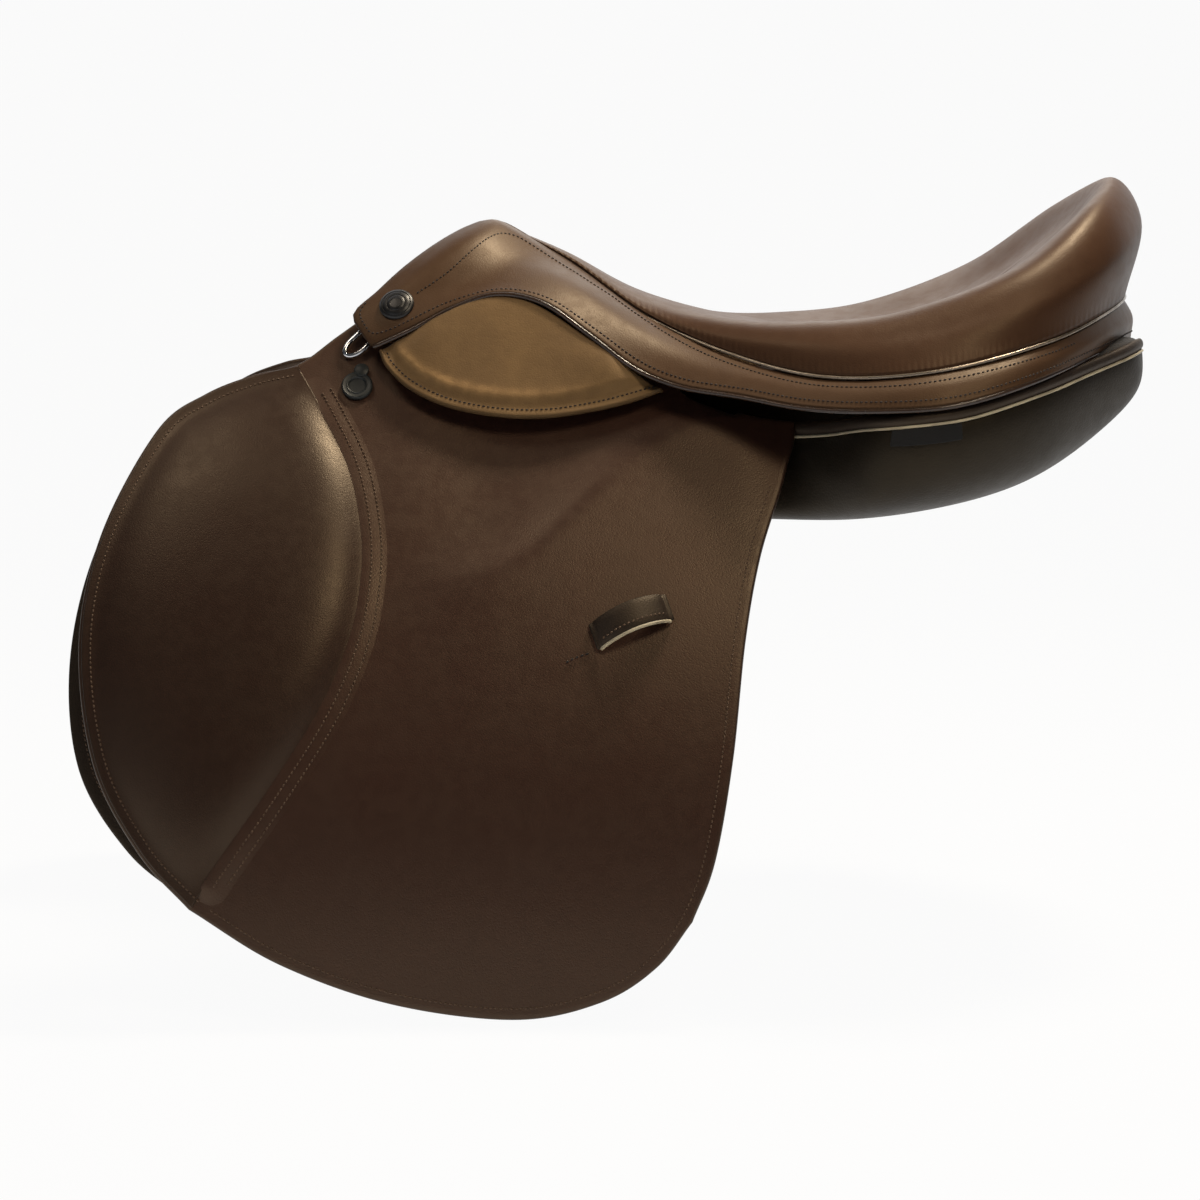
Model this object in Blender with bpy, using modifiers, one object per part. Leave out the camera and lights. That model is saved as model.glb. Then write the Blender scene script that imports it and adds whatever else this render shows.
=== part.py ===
"""Close contact saddle, built from its leather, wood, steel and cushion pieces.

Metres, +Z up. +X runs to the cantle, -X to the pommel, the near (left) side is -Y.
The origin lies on the centre plane, at the height on which the panels bear.
Every side piece is drawn for the off side and mirrored for the near side.
"""

import math

import bmesh
import bpy
import numpy as np
from mathutils import Matrix, Vector

# Clearances between pieces that lie on each other.
GAP = 0.0004
LAYER_GAP = 0.0007
MIDDLE_GAP = 0.0012

# Side curve: half width and height of the flap's outer face, from the pommel top down.
SIDE_CURVE = (
    (0.000, 0.158), (0.022, 0.151), (0.043, 0.132), (0.056, 0.113), (0.073, 0.083), (0.099, 0.045),
    (0.130, 0.000), (0.160, -0.050), (0.184, -0.100), (0.202, -0.150), (0.213, -0.200), (0.222, -0.270),
)

# Seat surface: rails from the pommel to the cantle, from the centre line out to the welt.
SEAT_SPINE = (
    (-0.058, 0, 0.1605), (-0.020, 0, 0.1425), (0.020, 0, 0.1215), (0.060, 0, 0.1090), (0.100, 0, 0.1000),
    (0.140, 0, 0.0955), (0.180, 0, 0.0995), (0.212, 0, 0.1120), (0.240, 0, 0.1300),
)
SEAT_DISH = (
    (-0.057, 0.0016, 0.1602), (-0.018, 0.011, 0.1415), (0.022, 0.028, 0.1195), (0.062, 0.043, 0.1078),
    (0.102, 0.054, 0.1010), (0.146, 0.062, 0.0990), (0.198, 0.062, 0.1090), (0.245, 0.046, 0.1330),
    (0.272, 0, 0.1570),
)
SEAT_RIM = (
    (-0.055, 0.0030, 0.1598), (-0.016, 0.017, 0.1395), (0.025, 0.044, 0.1150), (0.066, 0.072, 0.1050),
    (0.112, 0.096, 0.1040), (0.168, 0.111, 0.1105), (0.232, 0.106, 0.1350), (0.278, 0.068, 0.1700),
    (0.299, 0, 0.1860),
)
SEAT_SIDE = (
    (-0.053, 0.0037, 0.1594), (-0.016, 0.020, 0.1388), (0.026, 0.053, 0.1110), (0.069, 0.086, 0.0975),
    (0.118, 0.117, 0.0940), (0.177, 0.133, 0.0980), (0.244, 0.124, 0.1200), (0.295, 0.080, 0.1460),
    (0.317, 0, 0.1620),
)
SEAT_WELT = (
    (-0.050, 0.0042, 0.1590), (-0.016, 0.0215, 0.1375), (0.027, 0.0565, 0.1080), (0.072, 0.0925, 0.0880),
    (0.124, 0.1280, 0.0765), (0.184, 0.1450, 0.0805), (0.247, 0.1260, 0.0960), (0.295, 0.0720, 0.1120),
    (0.314, 0, 0.1190),
)
SEAT_ROWS = 27
SEAT_COLUMNS = 9
COVER_LEATHER = 0.0022
FOAM_THICKNESS = 0.009
FOAM_FIRST_ROW = 5
FOAM_COLUMNS = 4
SEAT_GAP = 0.0015
WEB_THICKNESS = 0.0012
FRAME_THICKNESS = 0.006
FRAME_START = 0.205
FRAME_JOIN = 0.78
FRAME_JOINT = 0.004

# Shares of the half seat, along it and across it, that the inner layers take.
LONG_WEB_PART = ((0.21, 0.95), (0.0, 0.12))
CROSS_WEB_PART = ((0.44, 0.56), (0.0, 0.40))
RAIL_PART = ((FRAME_START, FRAME_JOIN), (0.20, 0.44))
CANTLE_PART = ((FRAME_JOIN + FRAME_JOINT, 1.0), (0.12, 0.36))

# Skirt: lower edge of the band that runs from the pommel round to the cantle.
SKIRT_EDGE = (
    (-0.129, 0.0810, 0.0920), (-0.107, 0.0810, 0.1020), (-0.084, 0.0765, 0.1135), (-0.058, 0.0735, 0.1210),
    (-0.031, 0.0775, 0.1160), (-0.004, 0.0875, 0.0980), (0.021, 0.0975, 0.0800), (0.046, 0.1070, 0.0705),
    (0.078, 0.1210, 0.0660), (0.110, 0.1380, 0.0610), (0.146, 0.1520, 0.0600), (0.190, 0.1580, 0.0630),
    (0.234, 0.1430, 0.0740), (0.275, 0.1030, 0.0880), (0.303, 0.0520, 0.1000), (0.3165, 0, 0.1050),
)
SKIRT_HEAD = ((-0.0700, 0, 0.1570), (-0.0622, 0.0022, 0.1597), (-0.0540, 0.0105, 0.1585))
SKIRT_THICKNESS = 0.0030
SKIRT_SWELL = 0.080
SKIRT_ROWS = 34
SKIRT_COLUMNS = 5
SEAM_CLEARANCE = 0.0006
WELT_RADIUS = 0.0015
SKIRT_PIPING_RADIUS = 0.0009

# Flap: outline in (x, height on the side curve), and the line on which its lower part lifts.
LIFT_HEIGHT = 0.0435
LIFT_AT = -0.056
LIFT_SLOPE = -0.18
LIFT_GAP = 0.0005
FLAP_LEATHER = 0.0035
FLAP_FRONT = (
    (-0.247, 0.044), (-0.273, -0.010), (-0.281, -0.066),
    (-0.270, -0.128), (-0.245, -0.173), (-0.218, -0.202),
)
FLAP_BOTTOM = (
    (-0.218, -0.202), (-0.170, -0.231), (-0.110, -0.252), (-0.045, -0.260), (0.000, -0.251), (0.029, -0.233),
    (0.048, -0.209),
)
FLAP_REAR = ((0.0865, -0.022), (0.0775, -0.065), (0.070, -0.125), (0.0600, -0.178), (0.048, -0.209))
FLAP_NOSE_X = -0.207
FLAP_TAIL_X = 0.0985
SHOULDER = ((-0.171, 0.0790), (-0.152, 0.0940), (-0.134, 0.1120))
TOP_EDGE = (
    (-0.134, 0.1120), (-0.095, 0.1230), (-0.045, 0.1210), (0.000, 0.1010), (0.030, 0.0780), (0.055, 0.0580),
    (0.082, 0.0510), (0.1085, 0.0480),
)
TAIL_EDGE = ((0.1085, 0.0480), (0.1070, 0.0380), (0.1035, 0.0280))

# Knee pad on the flap.
PAD_NOSE_X = -0.203
PAD_SEAM_X = -0.161
PAD_FRONT = (
    (-0.241, 0.041), (-0.267, -0.010), (-0.275, -0.066),
    (-0.264, -0.126), (-0.240, -0.168), (-0.2175, -0.1955),
)
PAD_SEAM = (
    (-0.147, 0.030), (-0.134, -0.002), (-0.129, -0.040), (-0.136, -0.072),
    (-0.152, -0.106), (-0.180, -0.148), (-0.2145, -0.1965),
)
PAD_DROP = 0.0015
PAD_EDGE = 0.0012
PAD_CROWN = 0.0052
PAD_FULLNESS = 4

# Keeper on the flap: two sewn ends and an open arch.
KEEPER_START = (-0.003, -0.064)
KEEPER_END = (0.037, -0.049)
KEEPER_WIDTH = 0.018
KEEPER_LEATHER = 0.0020
KEEPER_RISE = 0.0070
KEEPER_SEWN = 0.11
KEEPER_SLOPE = 7.0
KEEPER_ROWS = 9
KEEPER_PIPING_RADIUS = 0.0010

# Sweat flap, knee block and girth straps, by their depth inside the flap's outer face.
SWEAT_DEPTH = 0.0190
SWEAT_LEATHER = 0.0025
SWEAT_TOP = (
    (-0.214, 0.0600), (-0.172, 0.0400), (-0.130, 0.0100), (-0.050, 0.0040), (0.030, 0.0020), (0.073, 0.0000),
)
SWEAT_FRONT = (
    (-0.214, 0.060), (-0.252, 0.041), (-0.279, -0.010), (-0.289, -0.070), (-0.281, -0.128), (-0.254, -0.172),
    (-0.225, -0.197),
)
SWEAT_BOTTOM = (
    (-0.225, -0.197), (-0.172, -0.223), (-0.110, -0.243), (-0.045, -0.250), (0.008, -0.236), (0.041, -0.203),
)
SWEAT_REAR = ((0.073, 0.0), (0.071, -0.045), (0.066, -0.095), (0.060, -0.145), (0.041, -0.203))
BLOCK_FRONT = ((-0.230, 0.036), (-0.254, -0.010), (-0.263, -0.066), (-0.256, -0.112), (-0.240, -0.140))
BLOCK_REAR = ((-0.203, 0.036), (-0.213, -0.010), (-0.217, -0.066), (-0.213, -0.112), (-0.207, -0.140))
BLOCK_EDGE = 0.0060
BLOCK_FULLNESS = 4
STRAP_DEPTH = 0.0085
STRAP_LEATHER = 0.0040
STRAP_WIDTH = 0.025
STRAP_TOP = 0.030
STRAP_END = -0.208
STRAP_PLACES = (-0.050, -0.005, 0.040)
STRAP_ROWS = 11
STRAP_POINT = 0.45
STRAP_HOLES = 7
HOLE_PITCH = 0.025
HOLE_RADIUS = 0.0027
FIRST_HOLE = -0.024
GIRTH_WEB_OUT = 0.0064
GIRTH_WEB_TOP = 0.057
GIRTH_WEB_END = 0.016
GIRTH_WEB_FRONT = -0.066
GIRTH_WEB_REAR = 0.056

# Tree head and gullet plate, under the skirts.
HEAD_COLUMNS = 4
HEAD_DEPTH = 0.0082
HEAD_SINK = 0.0060
HEAD_SINK_FROM = 0.1150
HEAD_SINK_OVER = 0.0350
HEAD_ROWS = 11
HEAD_THICKNESS = 0.0060
HEAD_FRONT = (
    (-0.057, 0.1579), (-0.086, 0.1510), (-0.104, 0.1340),
    (-0.116, 0.1130), (-0.119, 0.0850), (-0.112, 0.0560),
)
HEAD_REAR = (
    (-0.036, 0.1579), (-0.036, 0.1510), (-0.032, 0.1340), (-0.012, 0.1130), (0.002, 0.0850), (0.000, 0.0560),
)
PLATE_THICKNESS = 0.0030
PLATE_FRONT = (
    (-0.055, 0.1579), (-0.082, 0.1510), (-0.100, 0.1340),
    (-0.112, 0.1130), (-0.115, 0.0850), (-0.106, 0.0260),
)
PLATE_REAR = (
    (-0.038, 0.1579), (-0.050, 0.1510), (-0.060, 0.1340),
    (-0.066, 0.1130), (-0.068, 0.0850), (-0.074, 0.0260),
)

# Stirrup bar: a forged bar on the tree head, with a catch in the fork at its open end.
BAR_HEIGHT = 0.0810
BAR_FRONT_X = -0.1000
BAR_REAR_X = -0.0120
BAR_WIDTH = 0.0100
BAR_PLATE = 0.0028
BAR_THROAT = 0.0074
BAR_ROD = 0.0042
ROD_END_X = -0.0380
FORK_LENGTH = 0.0100
CATCH_THICKNESS = 0.0016
CATCH_CLEARANCE = 0.0003
CATCH_LENGTH = 0.0180
CATCH_WIDTH = 0.0090
CATCH_BEAK = 0.0068
PIN_RADIUS = 0.0013
WINDOW_MARGIN_X = 0.0100
WINDOW_HALF = 0.0150
WINDOW_DEPTH = 0.0300
ROUND_STEPS = 12

# Jockey: the padded leaf that covers the stirrup bar and lifts; its lower edge drops under the bar.
JOCKEY_UPPER = (
    (-0.1235, 0.0830), (-0.106, 0.0895), (-0.089, 0.0985),
    (-0.074, 0.1055), (-0.058, 0.1080), (-0.042, 0.1060),
    (-0.026, 0.0980), (-0.004, 0.0822), (0.018, 0.0682), (0.034, 0.0615),
)
JOCKEY_FRONT = ((-0.1235, 0.0830), (-0.119, 0.0740))
JOCKEY_DROP = (
    (-0.106, 0.0185), (-0.084, 0.0280), (-0.056, 0.0330), (-0.030, 0.0335), (-0.004, 0.0300), (0.018, 0.0250),
)
JOCKEY_PROUD = 0.0165
JOCKEY_TIP_PROUD = 0.0085
JOCKEY_REST = 0.0044
JOCKEY_LEATHER = 0.0030
JOCKEY_PADDING = 0.0014
JOCKEY_FULLNESS = 2
JOCKEY_END_SLOPE = 5.0
JOCKEY_FALL = 1.6
JOCKEY_AXIS_OUT = 0.0003

# Front ring, its staple, the button and the bare tag.
RING_AXIS_FRONT = (-0.1325, 0.0995)
RING_AXIS_REAR = (-0.1260, 0.0939)
RING_OUT = 0.0030
RING_WIRE = 0.0014
RING_LENGTH = 0.0210
RING_STRAIGHT = 0.55
STAPLE_SHOULDER = 0.3
STAPLE_WIRE = 0.0009
BUTTON_X = -0.1130
BUTTON_RADIUS = 0.0092
BUTTON_HEIGHT = 0.0032
BUTTON_PROFILE = ((0.0, 1.0), (0.60, 1.0), (0.90, 0.70), (1.0, 0.25), (1.0, 0.0), (0.0, 0.0))
BUTTON_ACROSS = 0.86
DISC_STEPS = 16
TAG_PLACE = (-0.1370, 0.0672)
TAG_RADIUS = 0.0075
TAG_THICKNESS = 0.0018

# Panel: cushion cage, one row of six corners (half width, height) at each station.
PANEL_CAGE = (
    (-0.127, (
        (0.026, 0.090), (0.040, 0.050), (0.066, 0.012),
        (0.086, 0.008), (0.067, 0.046), (0.041, 0.092),
    )),
    (-0.030, (
        (0.027, 0.085), (0.038, 0.039), (0.067, -0.004),
        (0.099, -0.006), (0.078, 0.037), (0.045, 0.087),
    )),
    (0.112, (
        (0.031, 0.070), (0.031, 0.022), (0.069, -0.010),
        (0.100, -0.010), (0.075, 0.036), (0.055, 0.070),
    )),
    (0.142, (
        (0.032, 0.070), (0.031, 0.022), (0.078, -0.009),
        (0.148, -0.006), (0.164, 0.054), (0.100, 0.072),
    )),
    (0.185, (
        (0.032, 0.074), (0.031, 0.024), (0.080, -0.004),
        (0.155, 0.001), (0.170, 0.062), (0.110, 0.077),
    )),
    (0.240, (
        (0.033, 0.082), (0.032, 0.036), (0.074, 0.008),
        (0.136, 0.014), (0.148, 0.076), (0.098, 0.087),
    )),
    (0.284, (
        (0.034, 0.092), (0.034, 0.058), (0.060, 0.036),
        (0.092, 0.042), (0.102, 0.086), (0.076, 0.096),
    )),
    (0.312, (
        (0.036, 0.096), (0.037, 0.074), (0.052, 0.062),
        (0.068, 0.066), (0.074, 0.088), (0.060, 0.097),
    )),
)

# Facing band and piping along the top of the panel, and the bare tab under them.
FACING_EDGE = (
    (0.1180, 0.1040, 0.0410), (0.1350, 0.1280, 0.0445), (0.1600, 0.1520, 0.0485), (0.1900, 0.1545, 0.0520),
    (0.2150, 0.1490, 0.0580), (0.2450, 0.1300, 0.0665), (0.2720, 0.1100, 0.0755), (0.2950, 0.0870, 0.0825),
    (0.3080, 0.0670, 0.0870),
)
FACING_ROWS = 19
FACING_HEIGHT = 0.0090
FACING_LEATHER = 0.0020
FACING_GAP = 0.0010
PANEL_PIPING_RADIUS = 0.0011
TAB_FRONT = 0.159
TAB_LENGTH = 0.0360
TAB_HEIGHT = 0.0080
TAB_THICKNESS = 0.0012

PIVOT_SIZE = 0.02

FINISHES = {
    "seat_leather": ((0.130, 0.075, 0.037), 0.46, 0.0),
    "skirt_leather": ((0.108, 0.058, 0.027), 0.44, 0.0),
    "flap_leather": ((0.066, 0.033, 0.017), 0.40, 0.0),
    "pad_leather": ((0.046, 0.022, 0.012), 0.42, 0.0),
    "under_leather": ((0.020, 0.012, 0.010), 0.50, 0.0),
    "panel_leather": ((0.011, 0.009, 0.008), 0.48, 0.0),
    "strap_leather": ((0.040, 0.020, 0.012), 0.50, 0.0),
    "piping": ((0.520, 0.470, 0.330), 0.50, 0.0),
    "welt": ((0.330, 0.300, 0.260), 0.35, 0.0),
    "wood": ((0.420, 0.270, 0.140), 0.55, 0.0),
    "webbing": ((0.330, 0.300, 0.230), 0.85, 0.0),
    "foam": ((0.560, 0.520, 0.380), 0.90, 0.0),
    "steel": ((0.420, 0.420, 0.430), 0.30, 1.0),
    "chrome": ((0.620, 0.620, 0.630), 0.16, 1.0),
    "rubber": ((0.014, 0.016, 0.016), 0.42, 0.0),
}
SIDES = (("near", -1), ("off", 1))


def clear_scene():
    """Remove whatever the scene holds."""
    for obj in list(bpy.data.objects):
        bpy.data.objects.remove(obj, do_unlink=True)


def collection(name, hidden=False):
    """A collection of this name under the scene's own."""
    made = bpy.data.collections.new(name)
    bpy.context.scene.collection.children.link(made)
    made.hide_render = hidden
    return made


def finish(name):
    """The Principled material of one finish."""
    made = bpy.data.materials.get(name)
    if made is None:
        colour, roughness, metallic = FINISHES[name]
        made = bpy.data.materials.new(name)
        made.use_nodes = True
        shader = made.node_tree.nodes["Principled BSDF"]
        shader.inputs["Base Color"].default_value = (*colour, 1.0)
        shader.inputs["Roughness"].default_value = roughness
        shader.inputs["Metallic"].default_value = metallic
    return made


def eased(share):
    """A share held between zero and one, with a level start and end."""
    held = min(max(share, 0.0), 1.0)
    return held * held * (3 - 2 * held)


def through(points, t, mirrored=False):
    """The point at share t of the smooth curve through the points.

    A mirrored curve crosses the centre plane squarely at its last point.
    """
    spots = [Vector(p) for p in points]
    before = 2 * spots[0] - spots[1]
    after = 2 * spots[-1] - spots[-2]
    if mirrored:
        after = Vector((spots[-2].x, -spots[-2].y, spots[-2].z))
    spots = [before, *spots, after]
    spans = len(spots) - 3
    place = min(max(t, 0.0), 1.0) * spans
    k = min(int(place), spans - 1)
    f = place - k
    a, b, c, d = spots[k : k + 4]
    return 0.5 * (2 * b + (c - a) * f + (2 * a - 5 * b + 4 * c - d) * f * f + (3 * b - a - 3 * c + d) * f**3)


def along(points, count, mirrored=False):
    """Points at even steps of the curve's own measure."""
    return [through(points, i / (count - 1), mirrored) for i in range(count)]


def evenly(points, count, mirrored=False):
    """Points at even lengths along the curve."""
    fine = along(points, 12 * len(points), mirrored)
    reach = [0.0]
    for a, b in zip(fine, fine[1:]):
        reach.append(reach[-1] + (b - a).length)
    wanted = np.linspace(0.0, reach[-1], count)
    shares = np.interp(wanted, reach, np.linspace(0.0, 1.0, len(fine)))
    return [through(points, float(share), mirrored) for share in shares]


SIDE_FINE = along(SIDE_CURVE, 400)
SIDE_Z = np.array([p.y for p in SIDE_FINE])[::-1]
SIDE_Y = np.array([p.x for p in SIDE_FINE])[::-1]


def side_normal(z):
    """The outward direction (y, z) of the side curve at a height."""
    step = 0.0015
    low = max(z - step, float(SIDE_Z[0]))
    high = min(z + step, float(SIDE_Z[-1]))
    run = float(np.interp(high, SIDE_Z, SIDE_Y) - np.interp(low, SIDE_Z, SIDE_Y))
    if z > SIDE_CURVE[0][1] - step:
        return Vector((0.0, 1.0))
    return Vector((high - low, -run)).normalized()


def lay(x, z, out=0.0):
    """The point over the side curve at (x, z), moved out of the flap's face by out."""
    normal = side_normal(z)
    y = float(np.interp(z, SIDE_Z, SIDE_Y))
    return Vector((x, y + out * normal.x, z + out * normal.y))


def lift_line(x):
    """The height of the flap's bend line at x."""
    return LIFT_HEIGHT + LIFT_SLOPE * (x - LIFT_AT)


def straight(start, end):
    """An edge with a point half way, from its two ends."""
    return start, tuple(0.5 * (a + b) for a, b in zip(start, end)), end


def coons(top, bottom, front, rear, rows, columns):
    """A grid of (x, z) between four edges; top and bottom run rearwards, front and rear run down."""
    t, b = evenly(top, rows), evenly(bottom, rows)
    f, r = evenly(front, columns), evenly(rear, columns)
    grid = []
    for i in range(rows):
        u = i / (rows - 1)
        line = []
        for j in range(columns):
            v = j / (columns - 1)
            ruled = (1 - v) * t[i] + v * b[i] + (1 - u) * f[j] + u * r[j]
            corners = (1 - u) * ((1 - v) * t[0] + v * b[0]) + u * ((1 - v) * t[-1] + v * b[-1])
            line.append(ruled - corners)
        grid.append(line)
    return grid


def lens(upper, lower, rows, columns):
    """A grid of (x, z) between two edges that share their ends."""
    a, b = evenly(upper, rows), evenly(lower, rows)
    return [[p.lerp(q, j / (columns - 1)) for j in range(columns)] for p, q in zip(a, b)]


def laid(flat, out, side):
    """A flat grid laid over one side; out is a distance or a function of the grid's shares."""
    rows, columns = len(flat), len(flat[0])
    grid = []
    for i, line in enumerate(flat):
        placed = []
        for j, p in enumerate(line):
            height = out(i / (rows - 1), j / (columns - 1)) if callable(out) else out
            point = lay(p.x, p.y, height)
            placed.append(Vector((point.x, side * point.y, point.z)))
        grid.append(placed)
    return grid


def sided(point, side):
    """A point of the off side taken to the given side."""
    return Vector((point[0], side * point[1], point[2]))


def add_object(name, mesh, group, finish_name, smooth=True):
    """Link a mesh as an object of the group."""
    made = bpy.data.objects.new(name, mesh)
    group.objects.link(made)
    mesh.materials.append(finish(finish_name))
    if smooth:
        mesh.shade_smooth()
        mesh.set_sharp_from_angle(angle=math.radians(40))
    return made


def grid_mesh(name, grid, outward):
    """An open surface through a grid, its faces turned towards outward."""
    work = bmesh.new()
    points = [[work.verts.new(p) for p in line] for line in grid]
    for a, b in zip(points, points[1:]):
        for j in range(len(a) - 1):
            work.faces.new((a[j], b[j], b[j + 1], a[j + 1]))
    bmesh.ops.remove_doubles(work, verts=work.verts, dist=0.00001)
    work.normal_update()
    facing = sum((f.normal * f.calc_area() for f in work.faces), Vector())
    if facing.dot(Vector(outward)) < 0:
        bmesh.ops.reverse_faces(work, faces=work.faces)
    mesh = bpy.data.meshes.new(name)
    work.to_mesh(mesh)
    work.free()
    return mesh


def between_mesh(name, outer, inner):
    """A closed body between two grids of one size."""
    work = bmesh.new()
    a = [[work.verts.new(p) for p in line] for line in outer]
    b = [[work.verts.new(p) for p in line] for line in inner]
    rows, columns = len(a), len(a[0])
    for i in range(rows - 1):
        for j in range(columns - 1):
            work.faces.new((a[i][j], a[i + 1][j], a[i + 1][j + 1], a[i][j + 1]))
            work.faces.new((b[i][j], b[i][j + 1], b[i + 1][j + 1], b[i + 1][j]))
    ring = [(i, 0) for i in range(rows - 1)] + [(rows - 1, j) for j in range(columns - 1)]
    ring += [(i, columns - 1) for i in range(rows - 1, 0, -1)] + [(0, j) for j in range(columns - 1, 0, -1)]
    for (i, j), (k, m) in zip(ring, ring[1:] + ring[:1]):
        work.faces.new((a[i][j], b[i][j], b[k][m], a[k][m]))
    bmesh.ops.remove_doubles(work, verts=work.verts, dist=0.00001)
    bmesh.ops.recalc_face_normals(work, faces=work.faces)
    mesh = bpy.data.meshes.new(name)
    work.to_mesh(mesh)
    work.free()
    return mesh


def add_mirror(obj):
    """Complete a half that is open at the centre plane."""
    made = obj.modifiers.new("mirror", "MIRROR")
    made.use_axis = (False, True, False)
    made.merge_threshold = 0.00005


def add_shell(obj, thickness):
    """Give an open surface its thickness, inwards."""
    made = obj.modifiers.new("thickness", "SOLIDIFY")
    made.thickness = thickness
    made.offset = -1.0


def add_inset(obj, depth):
    """Move a surface in along its normals."""
    made = obj.modifiers.new("inset", "DISPLACE")
    made.direction = "NORMAL"
    made.mid_level = 0.0
    made.strength = -depth


def add_cut(obj, cutter):
    """Cut one body out of another."""
    made = obj.modifiers.new("cut_" + cutter.name, "BOOLEAN")
    made.operation = "DIFFERENCE"
    made.object = cutter


def as_cutter(obj, group):
    """Make an object a cutter."""
    for holder in list(obj.users_collection):
        holder.objects.unlink(obj)
    group.objects.link(obj)
    obj.hide_render = True
    obj.display_type = "WIRE"


def add_wire(name, points, radius, group, finish_name, closed=False, resolution=1):
    """A round cord or wire along points."""
    data = bpy.data.curves.new(name, "CURVE")
    data.dimensions = "3D"
    data.bevel_depth = radius
    data.bevel_resolution = resolution
    data.use_fill_caps = not closed
    line = data.splines.new("POLY")
    line.points.add(len(points) - 1)
    for spot, p in zip(line.points, points):
        spot.co = (*p, 1.0)
    line.use_cyclic_u = closed
    data.materials.append(finish(finish_name))
    made = bpy.data.objects.new(name, data)
    group.objects.link(made)
    return made


def frame_at(x, z, out, side):
    """Axes on one side's face: X rearwards, Y down the face, Z out of it."""
    normal = side_normal(z)
    outward = Vector((0.0, side * normal.x, normal.y))
    rearward = Vector((1.0, 0.0, 0.0))
    down = outward.cross(rearward)
    spot = sided(lay(x, z, out), side)
    turned = Matrix((rearward, down, outward)).transposed().to_4x4()
    return Matrix.Translation(spot) @ turned


def seat_point(u, v):
    """The seat's outer surface: u from pommel to cantle, v from the centre line to the welt."""
    rails = (SEAT_SPINE, SEAT_DISH, SEAT_RIM, SEAT_SIDE, SEAT_WELT)
    row = [through(rail, u, rail is not SEAT_SPINE) for rail in rails]
    point = through(row, v)
    return Vector((point.x, max(point.y, 0.0), point.z))


def seat_grid(u_range, v_range, rows, columns):
    """A grid over part of the half seat."""
    return [
        [
            seat_point(
                u_range[0] + (u_range[1] - u_range[0]) * i / (rows - 1),
                v_range[0] + (v_range[1] - v_range[0]) * j / (columns - 1),
            )
            for j in range(columns)
        ]
        for i in range(rows)
    ]


def add_seat_layer(name, u_range, v_range, size, depth, thickness, group, finish_name):
    """One layer of the seat, as deep as given under its outer surface."""
    mesh = grid_mesh(name, seat_grid(u_range, v_range, *size), (0, 0, 1))
    obj = add_object(name, mesh, group, finish_name)
    add_mirror(obj)
    if depth:
        add_inset(obj, depth)
    add_shell(obj, thickness)
    return obj


def seam_line(away):
    """A line beside the seat's welt edge, moved away from the seat along its side."""
    edge = [seat_point(i / (SEAT_ROWS - 1), 1.0) for i in range(SEAT_ROWS)]
    line = []
    for i, spot in list(enumerate(edge))[1:]:
        along_edge = (edge[min(i + 1, SEAT_ROWS - 1)] - edge[max(i - 1, 0)]).normalized()
        run = spot - seat_point(i / (SEAT_ROWS - 1), 0.9)
        run = (run - along_edge * run.dot(along_edge)).normalized()
        line.append(spot + away * run)
    line[-1].y = 0.0
    return line


def build_seat(group):
    """Seat cover, foam, webs and the laminated frame under them."""
    size = (SEAT_ROWS, SEAT_COLUMNS)
    add_seat_layer("seat_cover", (0, 1), (0, 1), size, 0, COVER_LEATHER, group, "seat_leather")
    depth = COVER_LEATHER + LAYER_GAP
    foam_start = FOAM_FIRST_ROW / (SEAT_ROWS - 1)
    foam_edge = (FOAM_COLUMNS - 1) / (SEAT_COLUMNS - 1)
    size = (SEAT_ROWS - FOAM_FIRST_ROW, FOAM_COLUMNS)
    add_seat_layer("seat_foam", (foam_start, 1), (0, foam_edge), size, depth, FOAM_THICKNESS, group, "foam")
    depth += FOAM_THICKNESS + SEAT_GAP
    add_seat_layer("seat_web_long", *LONG_WEB_PART, (12, 2), depth, WEB_THICKNESS, group, "webbing")
    depth += WEB_THICKNESS + SEAT_GAP
    add_seat_layer("seat_web_cross", *CROSS_WEB_PART, (4, 5), depth, WEB_THICKNESS, group, "webbing")
    depth += WEB_THICKNESS + SEAT_GAP
    add_seat_layer("tree_cantle", *CANTLE_PART, (7, 4), depth, FRAME_THICKNESS, group, "wood")
    for side_name, side in SIDES:
        grid = seat_grid(*RAIL_PART, 10, 3)
        grid = [[sided(p, side) for p in line] for line in grid]
        name = f"tree_rail_{side_name}"
        rail = add_object(name, grid_mesh(name, grid, (0, 0, 1)), group, "wood")
        add_inset(rail, depth)
        add_shell(rail, FRAME_THICKNESS)


def build_tree_head(group):
    """The laminated head arch and the steel gullet plate inside it."""
    under_head = HEAD_DEPTH + HEAD_THICKNESS + LAYER_GAP
    for name, edges, depth, thickness, finish_name in (
        ("tree_head", (HEAD_FRONT, HEAD_REAR), HEAD_DEPTH, HEAD_THICKNESS, "wood"),
        ("gullet_plate", (PLATE_FRONT, PLATE_REAR), under_head, PLATE_THICKNESS, "steel"),
    ):
        front, rear = evenly(edges[0], HEAD_ROWS), evenly(edges[1], HEAD_ROWS)
        grid = []
        for i in range(HEAD_COLUMNS):
            line = []
            for a, b in zip(front, rear):
                p = a.lerp(b, i / (HEAD_COLUMNS - 1))
                sink = HEAD_SINK * eased((p.y - HEAD_SINK_FROM) / HEAD_SINK_OVER)
                line.append(lay(p.x, p.y, -depth - sink))
            line[0].y = 0.0
            grid.append(line)
        obj = add_object(name, grid_mesh(name, grid, (0, 0, 1)), group, finish_name)
        add_mirror(obj)
        add_shell(obj, thickness)


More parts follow.
